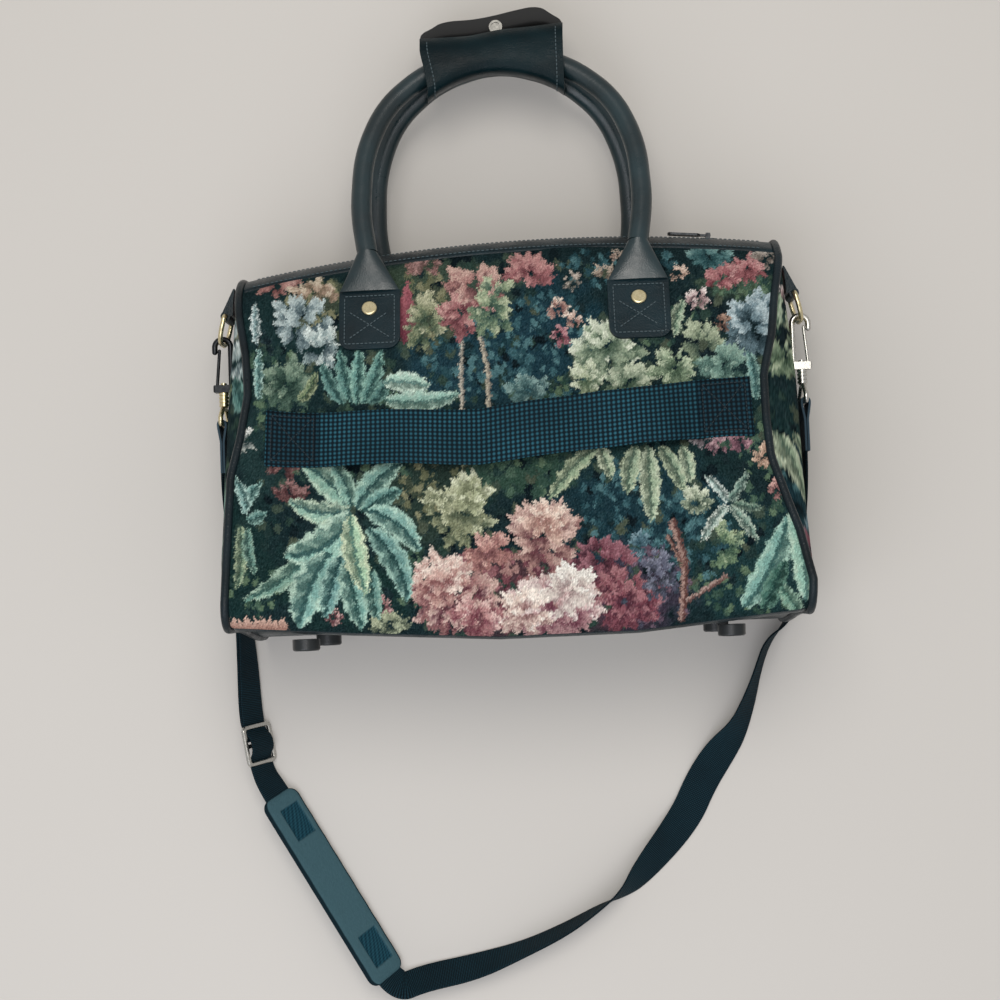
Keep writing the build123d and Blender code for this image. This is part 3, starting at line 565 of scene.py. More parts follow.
class Dye:
    """sRGB colours on points, with each motif laid over what is there, its edges ragged by the weave."""

    def __init__(self, px, py, code):
        self.rng = np.random.default_rng(7)
        grain = grain_rng.normal(0, 0.8, (2, len(px)))
        self.px = px + grain[0] + 0.7 * np.sin(py / 1.7 + px / 9)
        self.py = py + grain[1] + 0.7 * np.sin(px / 1.9 - py / 8)
        self.colour = np.tile(srgb(code), (len(px), 1))

    def near(self, cx, cy, reach):
        return np.nonzero((np.abs(self.px - cx) < reach) & (np.abs(self.py - cy) < reach))[0]

    def lay(self, where, mask, code):
        mask = np.clip(mask, 0, 1)[:, None]
        tone = srgb(code) if isinstance(code, str) else code
        self.colour[where] = self.colour[where] * (1 - mask) + tone * mask

    def wash(self, cx, cy, rx, ry, code):
        """A ragged patch of ground."""
        where = self.near(cx, cy, max(rx, ry) * 1.6)
        u, v = (self.px[where] - cx) / rx, (self.py[where] - cy) / ry
        ragged = 0.22 * np.sin(u * 11 + 3 * v) * np.cos(v * 9 - 2 * u)
        self.lay(where, 0.85 * smooth((1.25 - np.hypot(u, v) + ragged) / 0.6), code)

    def speckle(self, cx, cy, rx, ry, count, size, codes):
        """Many small upright dabs in an ellipse."""
        for _ in range(count):
            a, r = self.rng.uniform(0, 2 * pi), self.rng.uniform(0, 1) ** 0.5
            x, y = cx + rx * r * cos(a), cy + ry * r * sin(a)
            code = codes[self.rng.integers(len(codes))]
            grow = size * self.rng.uniform(0.6, 1.3)
            self.petal(x, y, grow, grow * 0.36, 90 + self.rng.uniform(-35, 35), code, code)

    def petal(self, x, y, length, width, degrees, dark, light, teeth=0.0):
        """A dab from its root: half width w sin(pi u^0.75), dark at the root and light at the tip."""
        where = self.near(x, y, length * 1.1 + width)
        if len(where) == 0:
            return
        c, s = cos(radians(degrees)), -sin(radians(degrees))
        dx, dy = self.px[where] - x, self.py[where] - y
        u, v = (dx * c + dy * s) / length, (dy * c - dx * s) / width
        inside = (u > 0) & (u < 1)
        half = np.sin(pi * np.clip(u, 0, 1) ** 0.75) * (1 - teeth * (0.5 + 0.5 * np.sin(u * 19)))
        mask = inside * smooth((1.1 - np.abs(v) / np.maximum(half, 0.04)) / 0.25)
        blend = smooth(u * 1.3 - 0.15 + 0.16 * np.sin(v * 7 + u * 5))[:, None]
        self.lay(where, mask, srgb(dark) * (1 - blend) + srgb(light) * blend)

    def leaf(self, x0, y0, x1, y1, width, body, edge, vein, bend):
        """A broad leaf from stalk to tip: light half, dark half, pale ragged edge, side ribs and midrib."""
        length = hypot(x1 - x0, y1 - y0)
        where = self.near((x0 + x1) / 2, (y0 + y1) / 2, length * 0.6 + width * 2 + abs(bend) * length)
        c, s = (x1 - x0) / length, (y1 - y0) / length
        dx, dy = self.px[where] - x0, self.py[where] - y0
        u, v = (dx * c + dy * s) / length, (dy * c - dx * s)
        v = v / width - bend * length / width * 4 * u * (1 - u)
        inside = (u > 0) & (u < 1)
        half = np.sin(pi * np.clip(u, 0, 1) ** 0.85) ** 0.6 * (0.95 + 0.07 * np.sin(u * 31 + v))
        ratio = np.abs(v) / np.maximum(half, 0.03)
        mask = inside * smooth((1.06 - ratio) / 0.16)
        side = smooth((v + 0.15) / 0.3)[:, None]
        self.lay(where, mask, srgb(body) * (1 - side) * 1.12 + srgb(body) * 0.72 * side)
        ribs = mask * smooth((np.sin(u * 26 - np.abs(v) * 7) - 0.1) / 0.7)
        self.lay(where, ribs * 0.42, edge)
        self.lay(where, mask * smooth((ratio - 0.6 + 0.14 * np.sin(u * 23)) / 0.22) * 0.9, edge)
        self.lay(where, mask * smooth((0.17 - np.abs(v)) / 0.08) * 0.95 * (u < 0.93), vein)

    def burst(self, cx, cy, rx, ry, size, dark, mid, light, count):
        """A leafy head: petals that point out of its middle, laid from the rim inwards and lit from above."""
        for share in np.sort(self.rng.uniform(0.05, 1, count))[::-1]:
            a = self.rng.uniform(0, 2 * pi)
            x, y = cx + rx * share * 0.8 * cos(a), cy - ry * share * 0.8 * sin(a)
            out = np.degrees(np.arctan2(sin(a) * ry + 0.35 * size, cos(a) * rx))
            high = sin(a) * share + self.rng.uniform(-0.6, 0.6)
            tip = light if high > -0.1 else mid
            root = mid if high > 0.15 else dark
            grow = size * self.rng.uniform(0.7, 1.25)
            thin = grow * self.rng.uniform(0.26, 0.4)
            heading = out + self.rng.uniform(-25, 25)
            self.petal(x, y, grow, thin, heading, root, tip, 0.25)

    def trunk(self, points, width, code, lit):
        for (x0, y0), (x1, y1) in zip(points, points[1:]):
            span = hypot(x1 - x0, y1 - y0)
            where = self.near((x0 + x1) / 2, (y0 + y1) / 2, span / 2 + width * 2)
            ux, uy = (x1 - x0) / span, (y1 - y0) / span
            dx, dy = self.px[where] - x0, self.py[where] - y0
            u, v = dx * ux + dy * uy, dy * ux - dx * uy
            inside = smooth((u + 2) / 2) * smooth((span + 2 - u) / 2)
            self.lay(where, inside * smooth((width - np.abs(v)) / 1.2), code)
            self.lay(where, inside * smooth((width * 0.5 - np.abs(v + width * 0.35)) / 1.0) * 0.85, lit)

    def finish(self):
        """Linear colour, with the streaks of the two yarns that a tapestry mixes its tones from."""
        streak = np.sin(self.px * 2.9 + 1.7 * np.sin(self.py * 0.23)) * np.sin(self.py * 1.1 + self.px * 0.4)
        grey = self.colour @ np.array((0.3, 0.59, 0.11))
        ruddy = np.clip(self.colour[:, 0] - self.colour[:, 1:].max(axis=1), 0, 0.4)
        teal = np.clip(self.colour[:, 1:].min(axis=1) - self.colour[:, 0] - 0.05, 0, 0.4)
        faded = (0.17 + 0.6 * ruddy + 1.4 * teal)[:, None]
        muted = self.colour * (1 - faded) + grey[:, None] * faded + np.array((0.0, 0.006, 0.012))
        value = 0.955 * muted * (1 + 0.15 * streak[:, None]) + grain_rng.normal(0, 0.03, (len(self.px), 1))
        return to_linear(np.clip(value, 0, 1))


# The tones that dabs are mixed from
TONES = {
    "greens": ("#2f4a3c", "#425d49", "#233c36", "#566f52"),
    "teals": ("#1f4a52", "#2b6068", "#17383f", "#3a757a"),
    "olives": ("#4c5440", "#646748", "#3a4434", "#7d7c5a"),
    "mauves": ("#4b4a5a", "#5f4a58", "#3b4450", "#6c5563"),
    "blush": ("#97565a", "#a9756c", "#7c3c44", "#6c333e", "#b98f82"),
    "dim": ("#1c3330", "#2a4036", "#0e1c1f", "#3a4a3c", "#16292b", "#46503e", "#0c181c"),
}


def motifs(text):
    """Rows of a motif list: numbers, colours that start with #, and names of tones."""

    def value(cell):
        if cell[0] == "#" or cell.isalpha():
            return cell
        return int(cell) if cell.isdigit() else float(cell)

    return [[value(cell) for cell in row.split()] for row in text.split(",")]


# Grounds: middle, half widths, colour
GROUNDS = motifs("""
    530 600 96 44 #5c343a, 625 588 44 44 #4c2c38, 300 340 60 70 #16302f, 470 360 70 50 #173b48,
    545 340 60 60 #153a47, 640 520 90 70 #14353f, 720 420 70 60 #16302f, 240 560 40 70 #14302d,
    430 500 60 50 #2a3a2f, 420 300 45 50 #3c4c38, 745 560 60 60 #173a3a, 330 300 30 20 #3c4734,
    735 285 40 16 #46583f, 700 330 50 40 #121f22, 345 590 70 40 #14312c, 620 450 60 20 #1b3a37,
    530 470 50 26 #33503d, 265 450 30 50 #1e3836, 640 590 50 45 #3b3240, 460 285 60 26 #3d4e3d
""")
# Dabs: middle, half widths, how many, size, colours
DABS = motifs("""
    510 450 300 200 900 13 dim, 520 594 92 44 190 13 blush, 270 400 40 50 60 10 greens,
    475 365 50 40 90 9 teals, 550 350 48 60 110 9 teals, 430 310 34 46 60 10 olives,
    640 510 60 50 130 9 teals, 740 420 50 40 50 9 greens, 350 470 60 20 50 9 greens,
    430 480 50 40 80 10 olives, 520 470 50 30 70 12 greens, 655 590 36 42 70 8 mauves,
    745 590 50 30 60 9 greens, 250 590 30 30 40 9 greens, 320 310 40 24 50 10 olives,
    620 270 60 22 60 8 teals, 745 288 36 14 50 10 greens, 660 330 40 40 40 9 greens,
    770 470 26 50 40 9 greens, 400 430 60 40 60 9 greens, 415 590 16 40 30 8 greens, 700 540 40 50 70 8 teals,
    580 400 70 20 50 9 greens
""")
# Leafy heads: middle, half widths, petal size, dark, mid, light, how many
HEADS = motifs("""
    275 284 26 9 12 #7c4440 #b5766a #d9a596 34, 315 293 22 9 11 #6a5a44 #a98a70 #d6c3a6 30,
    425 268 18 8 9 #6a4a44 #a06a62 #c08a80 22, 425 320 16 28 12 #4a5a42 #8a8f6a #b9b692 40,
    462 312 22 20 15 #6a3238 #a85a5a #cf8f84 44, 476 284 24 18 15 #6d4040 #b07268 #d3a592 44,
    492 305 18 28 14 #3f5a48 #7d8f6c #b5bd96 40, 528 272 22 14 14 #7a3c40 #b0605f #cf8a80 40,
    302 322 26 24 15 #3c4f55 #75898a #b9c8c4 60, 322 348 14 18 13 #46585c #8fa3a0 #d3ded6 34,
    285 385 24 22 16 #22382f #4c6654 #7f957c 44, 265 345 8 14 8 #101c20 #1b2c30 #31484a 10,
    558 308 9 8 8 #8a5a50 #c49a86 #e6d3bd 16, 574 320 8 7 7 #8a5a50 #c9a08a #e9d6c2 14,
    562 335 6 9 7 #7d3a44 #b0656c #d38f90 14, 573 281 8 8 7 #5a5a50 #a08f80 #c4b3a2 14,
    604 272 8 7 7 #6a5a4c #a8937f #cbb59d 14, 619 257 6 5 6 #7c5a4c #b09480 #d6c2ac 12,
    697 297 9 8 8 #7f6060 #c9a8a2 #efe1d8 16, 678 273 6 6 6 #8a6a58 #c9a48c #e9cdb6 12,
    722 322 7 9 7 #5e3f34 #94705c #b98f74 12, 722 278 18 9 11 #6a2c34 #a84e52 #cb7f7a 34,
    748 268 16 8 10 #74363a #b35a5c #d6938c 30, 765 258 9 8 9 #5a5048 #9b8d80 #cfc5b8 16,
    708 256 24 7 12 #1d4a4e #3f7d7c #78aaa2 30, 700 340 15 12 14 #3c4d3e #7c8a6c #adb795 30,
    752 322 24 26 17 #26393f #5f7a82 #b3c6c8 60, 608 346 32 24 17 #455a46 #93a384 #d6dcc2 66,
    586 380 12 12 13 #566a4e #9fab86 #d3dabb 26, 630 380 28 10 13 #435a45 #86967a #c3ccac 44,
    676 368 20 14 14 #40553f #849876 #bcc8a4 42, 722 366 22 13 14 #2f4c44 #5c8172 #8fae9a 40,
    528 390 18 10 12 #2c5254 #54807c #84a8a0 30, 462 512 26 30 16 #4c563f #8b8f6a #bfc29a 70,
    470 492 15 14 14 #6c7252 #aab086 #dcdfbd 34, 438 500 12 10 11 #5c6448 #9ca07a #ccd0aa 24,
    488 552 18 14 14 #7a4444 #b67468 #d9a290 40, 283 468 14 7 9 #45292a #6e4440 #90625a 26,
    291 493 15 8 9 #4a2b2c #784a46 #a0706a 28, 246 442 7 12 9 #5a6360 #b0b5aa #e9e9df 16,
    600 560 30 26 14 #4a2630 #7d3c48 #a3606a 70, 625 600 34 30 15 #4f2430 #8a3f4a #b0686c 90,
    655 575 16 24 11 #33363f #56586a #7d7f90 34, 455 600 40 36 17 #5c2a34 #a46862 #d0a898 110,
    440 578 24 20 15 #8f4f4c #cd9a8a #ecd6c4 50, 480 618 26 16 14 #7c3540 #b97470 #e0b6a8 44,
    543 535 32 28 17 #6a383c #ab7a6e #d6b09e 84, 545 520 18 14 14 #a06a5c #d9b09a #efd8c2 34,
    555 605 46 30 17 #743644 #b98683 #e2cdc2 130, 570 590 24 20 15 #a58a84 #d9cbbd #f2ece0 60,
    525 612 24 20 14 #8f5f5a #d6b8a6 #efe2d2 54, 700 438 6 6 7 #54494c #a59a9c #e3dddb 12,
    718 442 8 8 8 #5c4048 #9f7078 #cda4a6 14, 740 440 9 7 8 #5c3c46 #96606c #c78f96 16,
    764 456 7 12 9 #7a5a48 #b3876c #d6b294 18, 776 490 6 9 8 #7a4a48 #b8786f #dba595 14,
    697 503 12 12 11 #4c5c4a #97a386 #cfd6b8 28, 727 545 10 26 12 #35503f #6c8560 #a3b389 30,
    640 545 12 10 9 #2c4c58 #4c7480 #7d9ea8 20, 385 606 6 8 7 #5c3236 #9f6864 #cf9f96 12,
    334 617 8 6 6 #5c3236 #a06a64 #d3a399 14, 390 625 16 8 10 #3f4a3a #7d8568 #adb48e 30
""")
# Broad leaves: stalk, tip, half width, body, edge, vein, bend
LEAVES = motifs("""
    256 345 255 303 5 #7f9c9a #dfe9e3 #4c6c6c 0.0, 258 400 259 348 5 #5c8f86 #b5d8c9 #2f5c58 0.0,
    298 402 316 372 6 #5c6f4c #a3ad83 #33483a 0.1, 343 404 322 362 7 #3c7168 #6fa394 #1f4642 -0.06,
    352 404 340 350 8 #3f776c #7bae9c #204844 -0.04, 357 404 359 348 8 #4a8578 #8fc0aa #234c47 0.0,
    363 404 381 350 8 #447c70 #84b6a2 #204844 0.04, 370 404 388 378 7 #386a62 #6a9c8c #1c403d 0.08,
    384 382 430 386 11 #8fb3a0 #c9dfcb #527f74 -0.05, 384 400 460 394 11 #7ba896 #b9d6c2 #457368 0.06,
    244 512 262 482 7 #4c8078 #a3cdbd #254c48 -0.1, 246 515 232 476 6 #5c8c84 #b3d6c8 #2b524e 0.1,
    246 520 266 512 7 #3f7068 #8cb8a8 #204440 0.1, 240 525 236 590 7 #6a8468 #a9b890 #3a5444 -0.05,
    248 528 256 575 6 #4f7a6c #94b8a0 #28483f 0.08, 684 300 676 336 7 #7a8f74 #b9c6a6 #47604e 0.1,
    348 505 303 464 15 #6f9a86 #b5cfb4 #2c5650 0.06, 352 506 330 458 10 #5c8c7c #a5c8b0 #284f4a 0.05,
    356 508 400 462 14 #5a8c7e #a9cbb4 #264d49 -0.06, 362 512 402 490 10 #447a70 #8cb8a4 #204541 -0.05,
    330 522 244 600 12 #5c8c7a #a9c6ac #2f5a50 -0.1, 350 510 288 500 12 #78a08c #bfd4b6 #35605a -0.12,
    352 514 284 556 21 #6fa593 #bcd8bf #2a5853 -0.16, 366 510 420 552 14 #639a8c #acd0ba #23504c -0.12,
    368 528 408 602 14 #4f8a80 #9cc6b2 #1f4845 -0.1, 330 552 298 628 20 #5f9a8c #b3d2bb #2a5853 0.06,
    342 556 326 618 12 #4a8880 #9ac4b2 #1f4a48 0.04, 346 560 362 630 14 #5c9485 #a9cbb4 #235049 0.0,
    372 570 378 620 10 #4c8074 #93b8a2 #21463f 0.05, 350 515 366 594 13 #93b592 #cfdcb4 #4c7a68 0.03,
    598 446 549 500 9 #7f9474 #b9c49c #485f4c 0.05, 600 446 612 478 8 #8a9c7c #c3ccaa #4c6350 0.0,
    636 446 628 494 10 #82977a #bcc8a2 #4a614e 0.05, 648 446 652 522 11 #8b9f80 #c6d0ae #4e6552 0.0,
    660 446 684 492 9 #7d9276 #b6c29c #465d4a -0.05, 682 446 690 484 8 #879b7e #c0caa6 #4a614e -0.05,
    728 502 704 474 5 #7f958c #d6dfd3 #48605a 0.05, 728 502 748 470 5 #5f7a6c #a3b8a6 #364f48 0.05,
    728 504 702 542 6 #8a9f92 #dfe6d6 #4c645c 0.05, 730 506 758 542 6 #6f8a7a #bccbb6 #3c554c -0.05,
    732 502 762 508 5 #4f6a5a #8fa48c #2f463e 0.05, 756 400 748 350 7 #4c7f78 #8fb9a8 #27504c 0.05,
    744 608 788 516 15 #5f9788 #a0c6b0 #2f5f58 0.06, 764 610 786 560 11 #2f5a4c #5c8a74 #1d3f38 0.0,
    806 600 790 505 13 #78a590 #b0cdb4 #436f64 0.05, 800 612 780 585 9 #5f8a74 #93b398 #335a4c 0.0
""")


def paint(px, py):
    """The whole tapestry on points given by pixel."""
    d = Dye(px, py, "#15292b")
    for row in GROUNDS:
        d.wash(*row)
    for cx, cy, rx, ry, count, size, tone in DABS:
        d.speckle(cx, cy, rx, ry, count, size, TONES[tone])
    d.petal(405, 345, 66, 9, 88, "#7a2f3c", "#b8505a")
    d.trunk([(463, 412), (461, 376), (462, 342)], 2.6, "#8f8678", "#cfc6b0")
    d.trunk([(489, 412), (488, 372), (481, 338)], 3.0, "#8a8070", "#c9bda2")
    d.trunk([(682, 620), (684, 590), (685, 560), (672, 520)], 4.2, "#6a4038", "#b08a7a")
    d.trunk([(684, 566), (676, 552), (668, 536)], 2.6, "#6a4038", "#a8806e")
    d.trunk([(688, 600), (708, 588), (726, 576)], 3.2, "#6f4a42", "#b8988a")
    for row in HEADS:
        d.burst(*row)
    for row in LEAVES:
        d.leaf(*row)
    for x in range(230, 290, 5):
        d.petal(x, 634, 17, 3.4, 84 + (x % 7) * 2, "#a8705c", "#d9a990")
    return d.finish()


# %% [markdown]
# Panels: the near one carries the tapestry that the camera sees, and the far one and the ends carry the
# same cloth, laid on by plan position.

# %% Panels
END = 195.0
NEAR_COLUMNS, NEAR_ROWS, NEAR_WALL = 270, 350, 5.0
FAR_COLUMNS, FAR_ROWS, FAR_WALL = 190, 150, 6.0
# Lengths round the section, from the base seam to the wall's foot, the wall's head and the band
RUNS = (23.0, 260.0, 293.9)
# The photo's pixels to a millimetre of cloth, across and up, from the pixel row of the base
PX_ACROSS, PX_UP, PX_BASE = 1.47, 1.42, 632
SHARP = radians(50)
low_angle = np.arccos(SEAM_Y / CORNER - 1)


def near_q(x, run):
    """Parameter at a length from the base seam: round the corner, up the wall, over the top to the band."""
    first = 1 + (pi - low_angle) / (pi - wall_angle(x))
    band = top_q(x, BAND_HIGH)
    corner_part = first + (2 - first) * run / RUNS[0]
    wall_part = 2 + (run - RUNS[0]) / (RUNS[1] - RUNS[0])
    top_part = 3 + (band - 3) * (run - RUNS[1]) / (RUNS[2] - RUNS[1])
    return np.where(run < RUNS[0], corner_part, np.where(run < RUNS[1], wall_part, top_part))


run = np.linspace(0, RUNS[2], NEAR_ROWS)[:, None]
for name, low, high in (("left", -END, 0.0), ("right", 0.0, END)):
    near_x = np.linspace(low, high, NEAR_COLUMNS)[None, :]
    grid = skin(near_x, near_q(near_x, run))
    near = panel(f"near_tapestry_{name}", grid, outward(grid, 2), NEAR_WALL, TAPESTRY)
    near.data.set_sharp_from_angle(angle=SHARP)
    set_colour(near, paint(*photo(grid.reshape(-1, 3))))
    if name == "left":
        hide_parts("near_panel")

far_x = np.linspace(-END, END, FAR_COLUMNS)[None, :]
start_q = top_q(far_x, 2 - BAND_HIGH)
stop_q = 4 + low_angle / (pi / 2)
far_q = start_q + (stop_q - start_q) * np.linspace(0, 1, FAR_ROWS)[:, None]
grid = skin(far_x, far_q, creased=False)
far = panel("far_tapestry", grid, outward(grid, 2, -1.0), FAR_WALL, TAPESTRY)
flat = grid.reshape(-1, 3)
set_colour(far, paint(500 - flat[:, 0] * PX_ACROSS, PX_BASE - flat[:, 1] * PX_UP + flat[:, 2] * 0.5))
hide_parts("far_panel")

# The ends: share of the outline at each ring, inset at the seam, stand-off there, dome and wall
END_RINGS = np.concatenate([np.linspace(1, 0.9, 10), np.linspace(0.885, 0.02, 66)])[:, None]
INNER_RINGS = [0, 5, 12, 30, len(END_RINGS) - 1]
END_COLUMNS = 380
END_INSET, END_PROUD, DOME, END_WALL = 1 - 2.4 / 95, 2.0, 8.3, 2.0


def end_panel(side, name):
    """Domed end: the outline shrunk by k about its middle, and proud of the seam by 2 + 8.3 sqrt(1 - k^2)."""
    y, z, _, _ = outline(side * END, np.linspace(0, 6, END_COLUMNS, endpoint=False)[None, :])
    middle_y, middle_z = CREST / 2, FLOOR_GAP + DEPTH / 2
    y = middle_y + (y - middle_y) * END_RINGS * END_INSET
    z = middle_z + (z - middle_z) * END_RINGS * END_INSET
    ripple = 0.9 * np.sin(y / 17 + z / 23) * (1 - END_RINGS)
    bulge = END_PROUD + DOME * np.sqrt(1 - END_RINGS**2) + ripple
    grid = np.stack(slump(side * (END + bulge), y, z, grip=END_RINGS**3), axis=-1)
    inner = grid[INNER_RINGS] - np.array((side * END_WALL, 0, 0))
    points = np.concatenate([grid.reshape(-1, 3), inner.reshape(-1, 3)])
    count, columns = len(END_RINGS) * END_COLUMNS, END_COLUMNS
    faces = quads(len(END_RINGS), columns, wrap_columns=True)
    faces += quads(len(inner), columns, count, wrap_columns=True)
    faces += [[a, (a + 1) % columns, (a + 1) % columns + count, a + count] for a in range(columns)]
    faces.append(list(range(count - columns, count)))
    faces.append(list(range(len(points) - columns, len(points))))
    piece = build(f"{name}_end_tapestry", points, faces, TAPESTRY)
    flat = grid.reshape(-1, 3)
    set_colour(piece, paint(500 + side * (290 - flat[:, 2]), PX_BASE - flat[:, 1] * PX_UP))
    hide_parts(f"{name}_end_panel")


PIPING_RADIUS, PIPING_OUT = 2.9, 2.5
for side, name in ((-1, "left"), (1, "right")):
    end_panel(side, name)
    seam = skin(side * END, np.linspace(0, 6, 260, endpoint=False), creased=False)
    seam[:, 0] += side * PIPING_OUT
    cord = closed_cord(f"{name}_piping_cord", seam, PIPING_RADIUS, 14, PIPING)
    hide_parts(f"{name}_piping")

BASE_WALL, BOARD_WALL, BOARD_GAP = 2.2, 2.0, 3.4
base_x = np.linspace(-END, END, 120)[None, :]
first_q = 6 - (pi - low_angle) / (pi / 2)
last_q = 7 + (pi - low_angle) / (pi - wall_angle(base_x))
base_q = first_q + (last_q - first_q) * np.linspace(0, 1, 60)[:, None]
base_grid = skin(base_x, base_q % 6, creased=False)
base_normals = outward(base_grid, 1, -1.0)
base = sheet("base_leather", base_grid, base_normals, BASE_WALL, LEATHER)
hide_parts("base_panel")
inside = slice(10, 50), slice(4, 116)
board_grid = base_grid[inside] - base_normals[inside] * BOARD_GAP
board = sheet("base_board_slab", board_grid, base_normals[inside], BOARD_WALL, BOARD)
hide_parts("base_board")

BAND_PROUD, BAND_WALL = 0.9, 2.4
band_edge = BAND_HIGH + 1.5
for name, low, high in (("near", BAND_LOW, band_edge), ("far", -band_edge, -BAND_LOW)):
    band_x = np.linspace(-END, END, 200)[None, :]
    reach = np.linspace(low, high, 12)[:, None]
    proud = BAND_PROUD * smooth((band_edge - np.abs(reach)) / 1.2)
    grid = skin(band_x, top_q(band_x, reach), proud, creased=False)
    band = sheet(f"zip_band_{name}_leather", grid, outward(grid, 1), BAND_WALL, LEATHER)
    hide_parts(f"zip_band_{name}")

# %% [markdown]
# The lining follows the slumped skin 4 mm inside it, as a thin sleeve that is open at both ends.

# %% Lining
LINING_GAP, LINING_WALL = 4.0, 0.8
lining_x = np.linspace(-191, 191, 60)[:, None]
lining_q = np.linspace(0, 6, 120, endpoint=False)[None, :]
shells = [skin(lining_x, lining_q, -gap, creased=False) for gap in (LINING_GAP, LINING_GAP + LINING_WALL)]
lining_rows, lining_columns = shells[0].shape[:2]
count = lining_rows * lining_columns
faces = quads(lining_rows, lining_columns, wrap_columns=True)
faces += quads(lining_rows, lining_columns, count, wrap_columns=True)
for first in (0, count - lining_columns):
    for k in range(lining_columns):
        a, b = first + k, first + (k + 1) % lining_columns
        faces.append([a, b, b + count, a + count])
lining_piece = build("lining_sleeve", np.concatenate(shells).reshape(-1, 3), faces, LINING)
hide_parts("lining")

# %% [markdown]
# Stitches are short capsules of thread laid along a line a little into the surface.

# %% Stitches
STITCH_LONG, STITCH_RADIUS, STITCH_SIDES = 2.3, 0.42, 5
# Share of the length and of the radius at each ring
STITCH_RINGS = ((0.0, 0.35), (0.2, 1.0), (0.8, 1.0), (1.0, 0.35))


def stitches(name, lines, material, pitch=3.4):
    """Short rods along each polyline, one each pitch, with rings of radius r about the line's travel."""
    points, faces = [], []
    around = [2 * pi * k / STITCH_SIDES for k in range(STITCH_SIDES)]
    for line in lines:
        marks = lengths_along(line)
        for at in np.arange(pitch / 2, marks[-1] - STITCH_LONG / 2, pitch):
            first, last = (
                np.array([np.interp(at + offset, marks, line[:, i]) for i in range(3)])
                for offset in (-STITCH_LONG / 2, STITCH_LONG / 2)
            )
            travel = unit(last - first)
            side = unit(np.cross(travel, (0.13, 0.31, 0.94)))
            over = np.cross(side, travel)
            start = len(points)
            for share, fat in STITCH_RINGS:
                middle = first + (last - first) * share
                points += [middle + (side * cos(a) + over * sin(a)) * STITCH_RADIUS * fat for a in around]
            faces += quads(len(STITCH_RINGS), STITCH_SIDES, start, wrap_columns=True)
            faces.append([start + k for k in range(STITCH_SIDES - 1, -1, -1)])
            faces.append([len(points) - STITCH_SIDES + k for k in range(STITCH_SIDES)])
    return build(name, points, faces, material)


line_x = np.linspace(-188, 188, 260)
inner_row, outer_row = BAND_LOW + 2.2, BAND_HIGH - 1.4
for name, side in (("near", 1), ("far", -1)):
    places = [top_q(line_x, side * row) for row in (inner_row, outer_row)]
    rows_of_thread = [skin(line_x, q, 1.25, creased=False) for q in places]
    stitches(f"band_stitches_{name}", rows_of_thread, THREAD)

# %% [markdown]
# Tabs follow the slumped skin. Each is a square with rounded lower corners, and the near ones are edge
# stitched, with a cross.

# %% Tabs
TAB_TOP, TAB_SIDE, TAB_CORNER, TAB_WALL = 247.0, 44.0, 9.0, 2.2
TAB_STITCH = 18.0


def tab_grid(cx, outset, far_side=False):
    """Tab surface: rows at height h are 2 (22 - 9 + sqrt(81 - (9 - h)^2)) wide at the rounded corners."""
    h = TAB_SIDE * (1 - np.cos(np.linspace(0, pi / 2, 26)))[:, None]
    drop = np.clip(TAB_CORNER - h, 0, TAB_CORNER)
    half = TAB_SIDE / 2 - TAB_CORNER + np.sqrt(TAB_CORNER**2 - drop**2)
    u = np.linspace(-1, 1, 30)[None, :]
    x, y = cx + half * u, TAB_TOP - TAB_SIDE + h + 0 * u
    if far_side:
        crown = ridge(x) - TOP
        angle = -np.arccos(np.clip((y - crown) / TOP, 0, 1))
        tilt = wall_angle(x)
        on_top = 3 + (tilt - angle) / (tilt + pi / 2)
        q = np.where(y > crown, on_top, 5 - (y - CORNER) / (crown - CORNER))
        return skin(x, q, outset, creased=False)
    return near_patch(x, y, outset)


for name in ("near_left", "near_right", "far_left", "far_right"):
    far_side = name.startswith("far")
    side = -1 if name.endswith("left") else 1
    cx = side * (FAR_ARCH if far_side else NEAR_ARCH) + ARCH_SHIFT
    grid = tab_grid(cx, TAB_WALL - 0.05, far_side)
    tab = sheet(f"tab_{name}_leather", grid, outward(grid, 2, -1.0 if far_side else 1.0), TAB_WALL, LEATHER)
    bevel = tab.modifiers.new("edge", "BEVEL")
    bevel.width, bevel.segments, bevel.limit_method = 0.0006, 2, "ANGLE"
    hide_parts(f"tab_{name}")
    if not far_side:
        t = np.linspace(-TAB_STITCH, TAB_STITCH, 30)
        flat_edge = np.full(30, TAB_STITCH)
        yc = TAB_TOP - TAB_SIDE / 2
        edge_y = np.concatenate([flat_edge, t[::-1], -flat_edge, t])
        edge_x = np.concatenate([t, flat_edge, t[::-1], -flat_edge])
        lines = [near_patch(cx + edge_x, yc + edge_y, TAB_WALL + 0.25)]
        for slope in (0.55, -0.55):
            lines.append(near_patch(cx + t * 0.8, yc - 4 + t * slope, TAB_WALL + 0.25))
        stitches(f"tab_{name}_stitches", lines, THREAD, pitch=3.0)

# %% [markdown]
# The CAD pieces that keep their shape take a finish in their own slots.

# %% CAD finishes
# The snap stud's nickel is darker than the cap's silver: painted shade in the wrap's gap.
SHADED_NICKEL = metal("shaded_nickel", "#4a4a49", 0.3, "#6f6e6a")
# Dark metal: the zip slider's and pull's own finish, and on the left hook and gate a painted dark reflection.
GUNMETAL_AND_HOOK_SHADE = metal("gunmetal_and_hook_shade", "#1b1d20", 0.34, "#3a3c3e")
FOOT = plain("foot", "#10171a", 0.35)
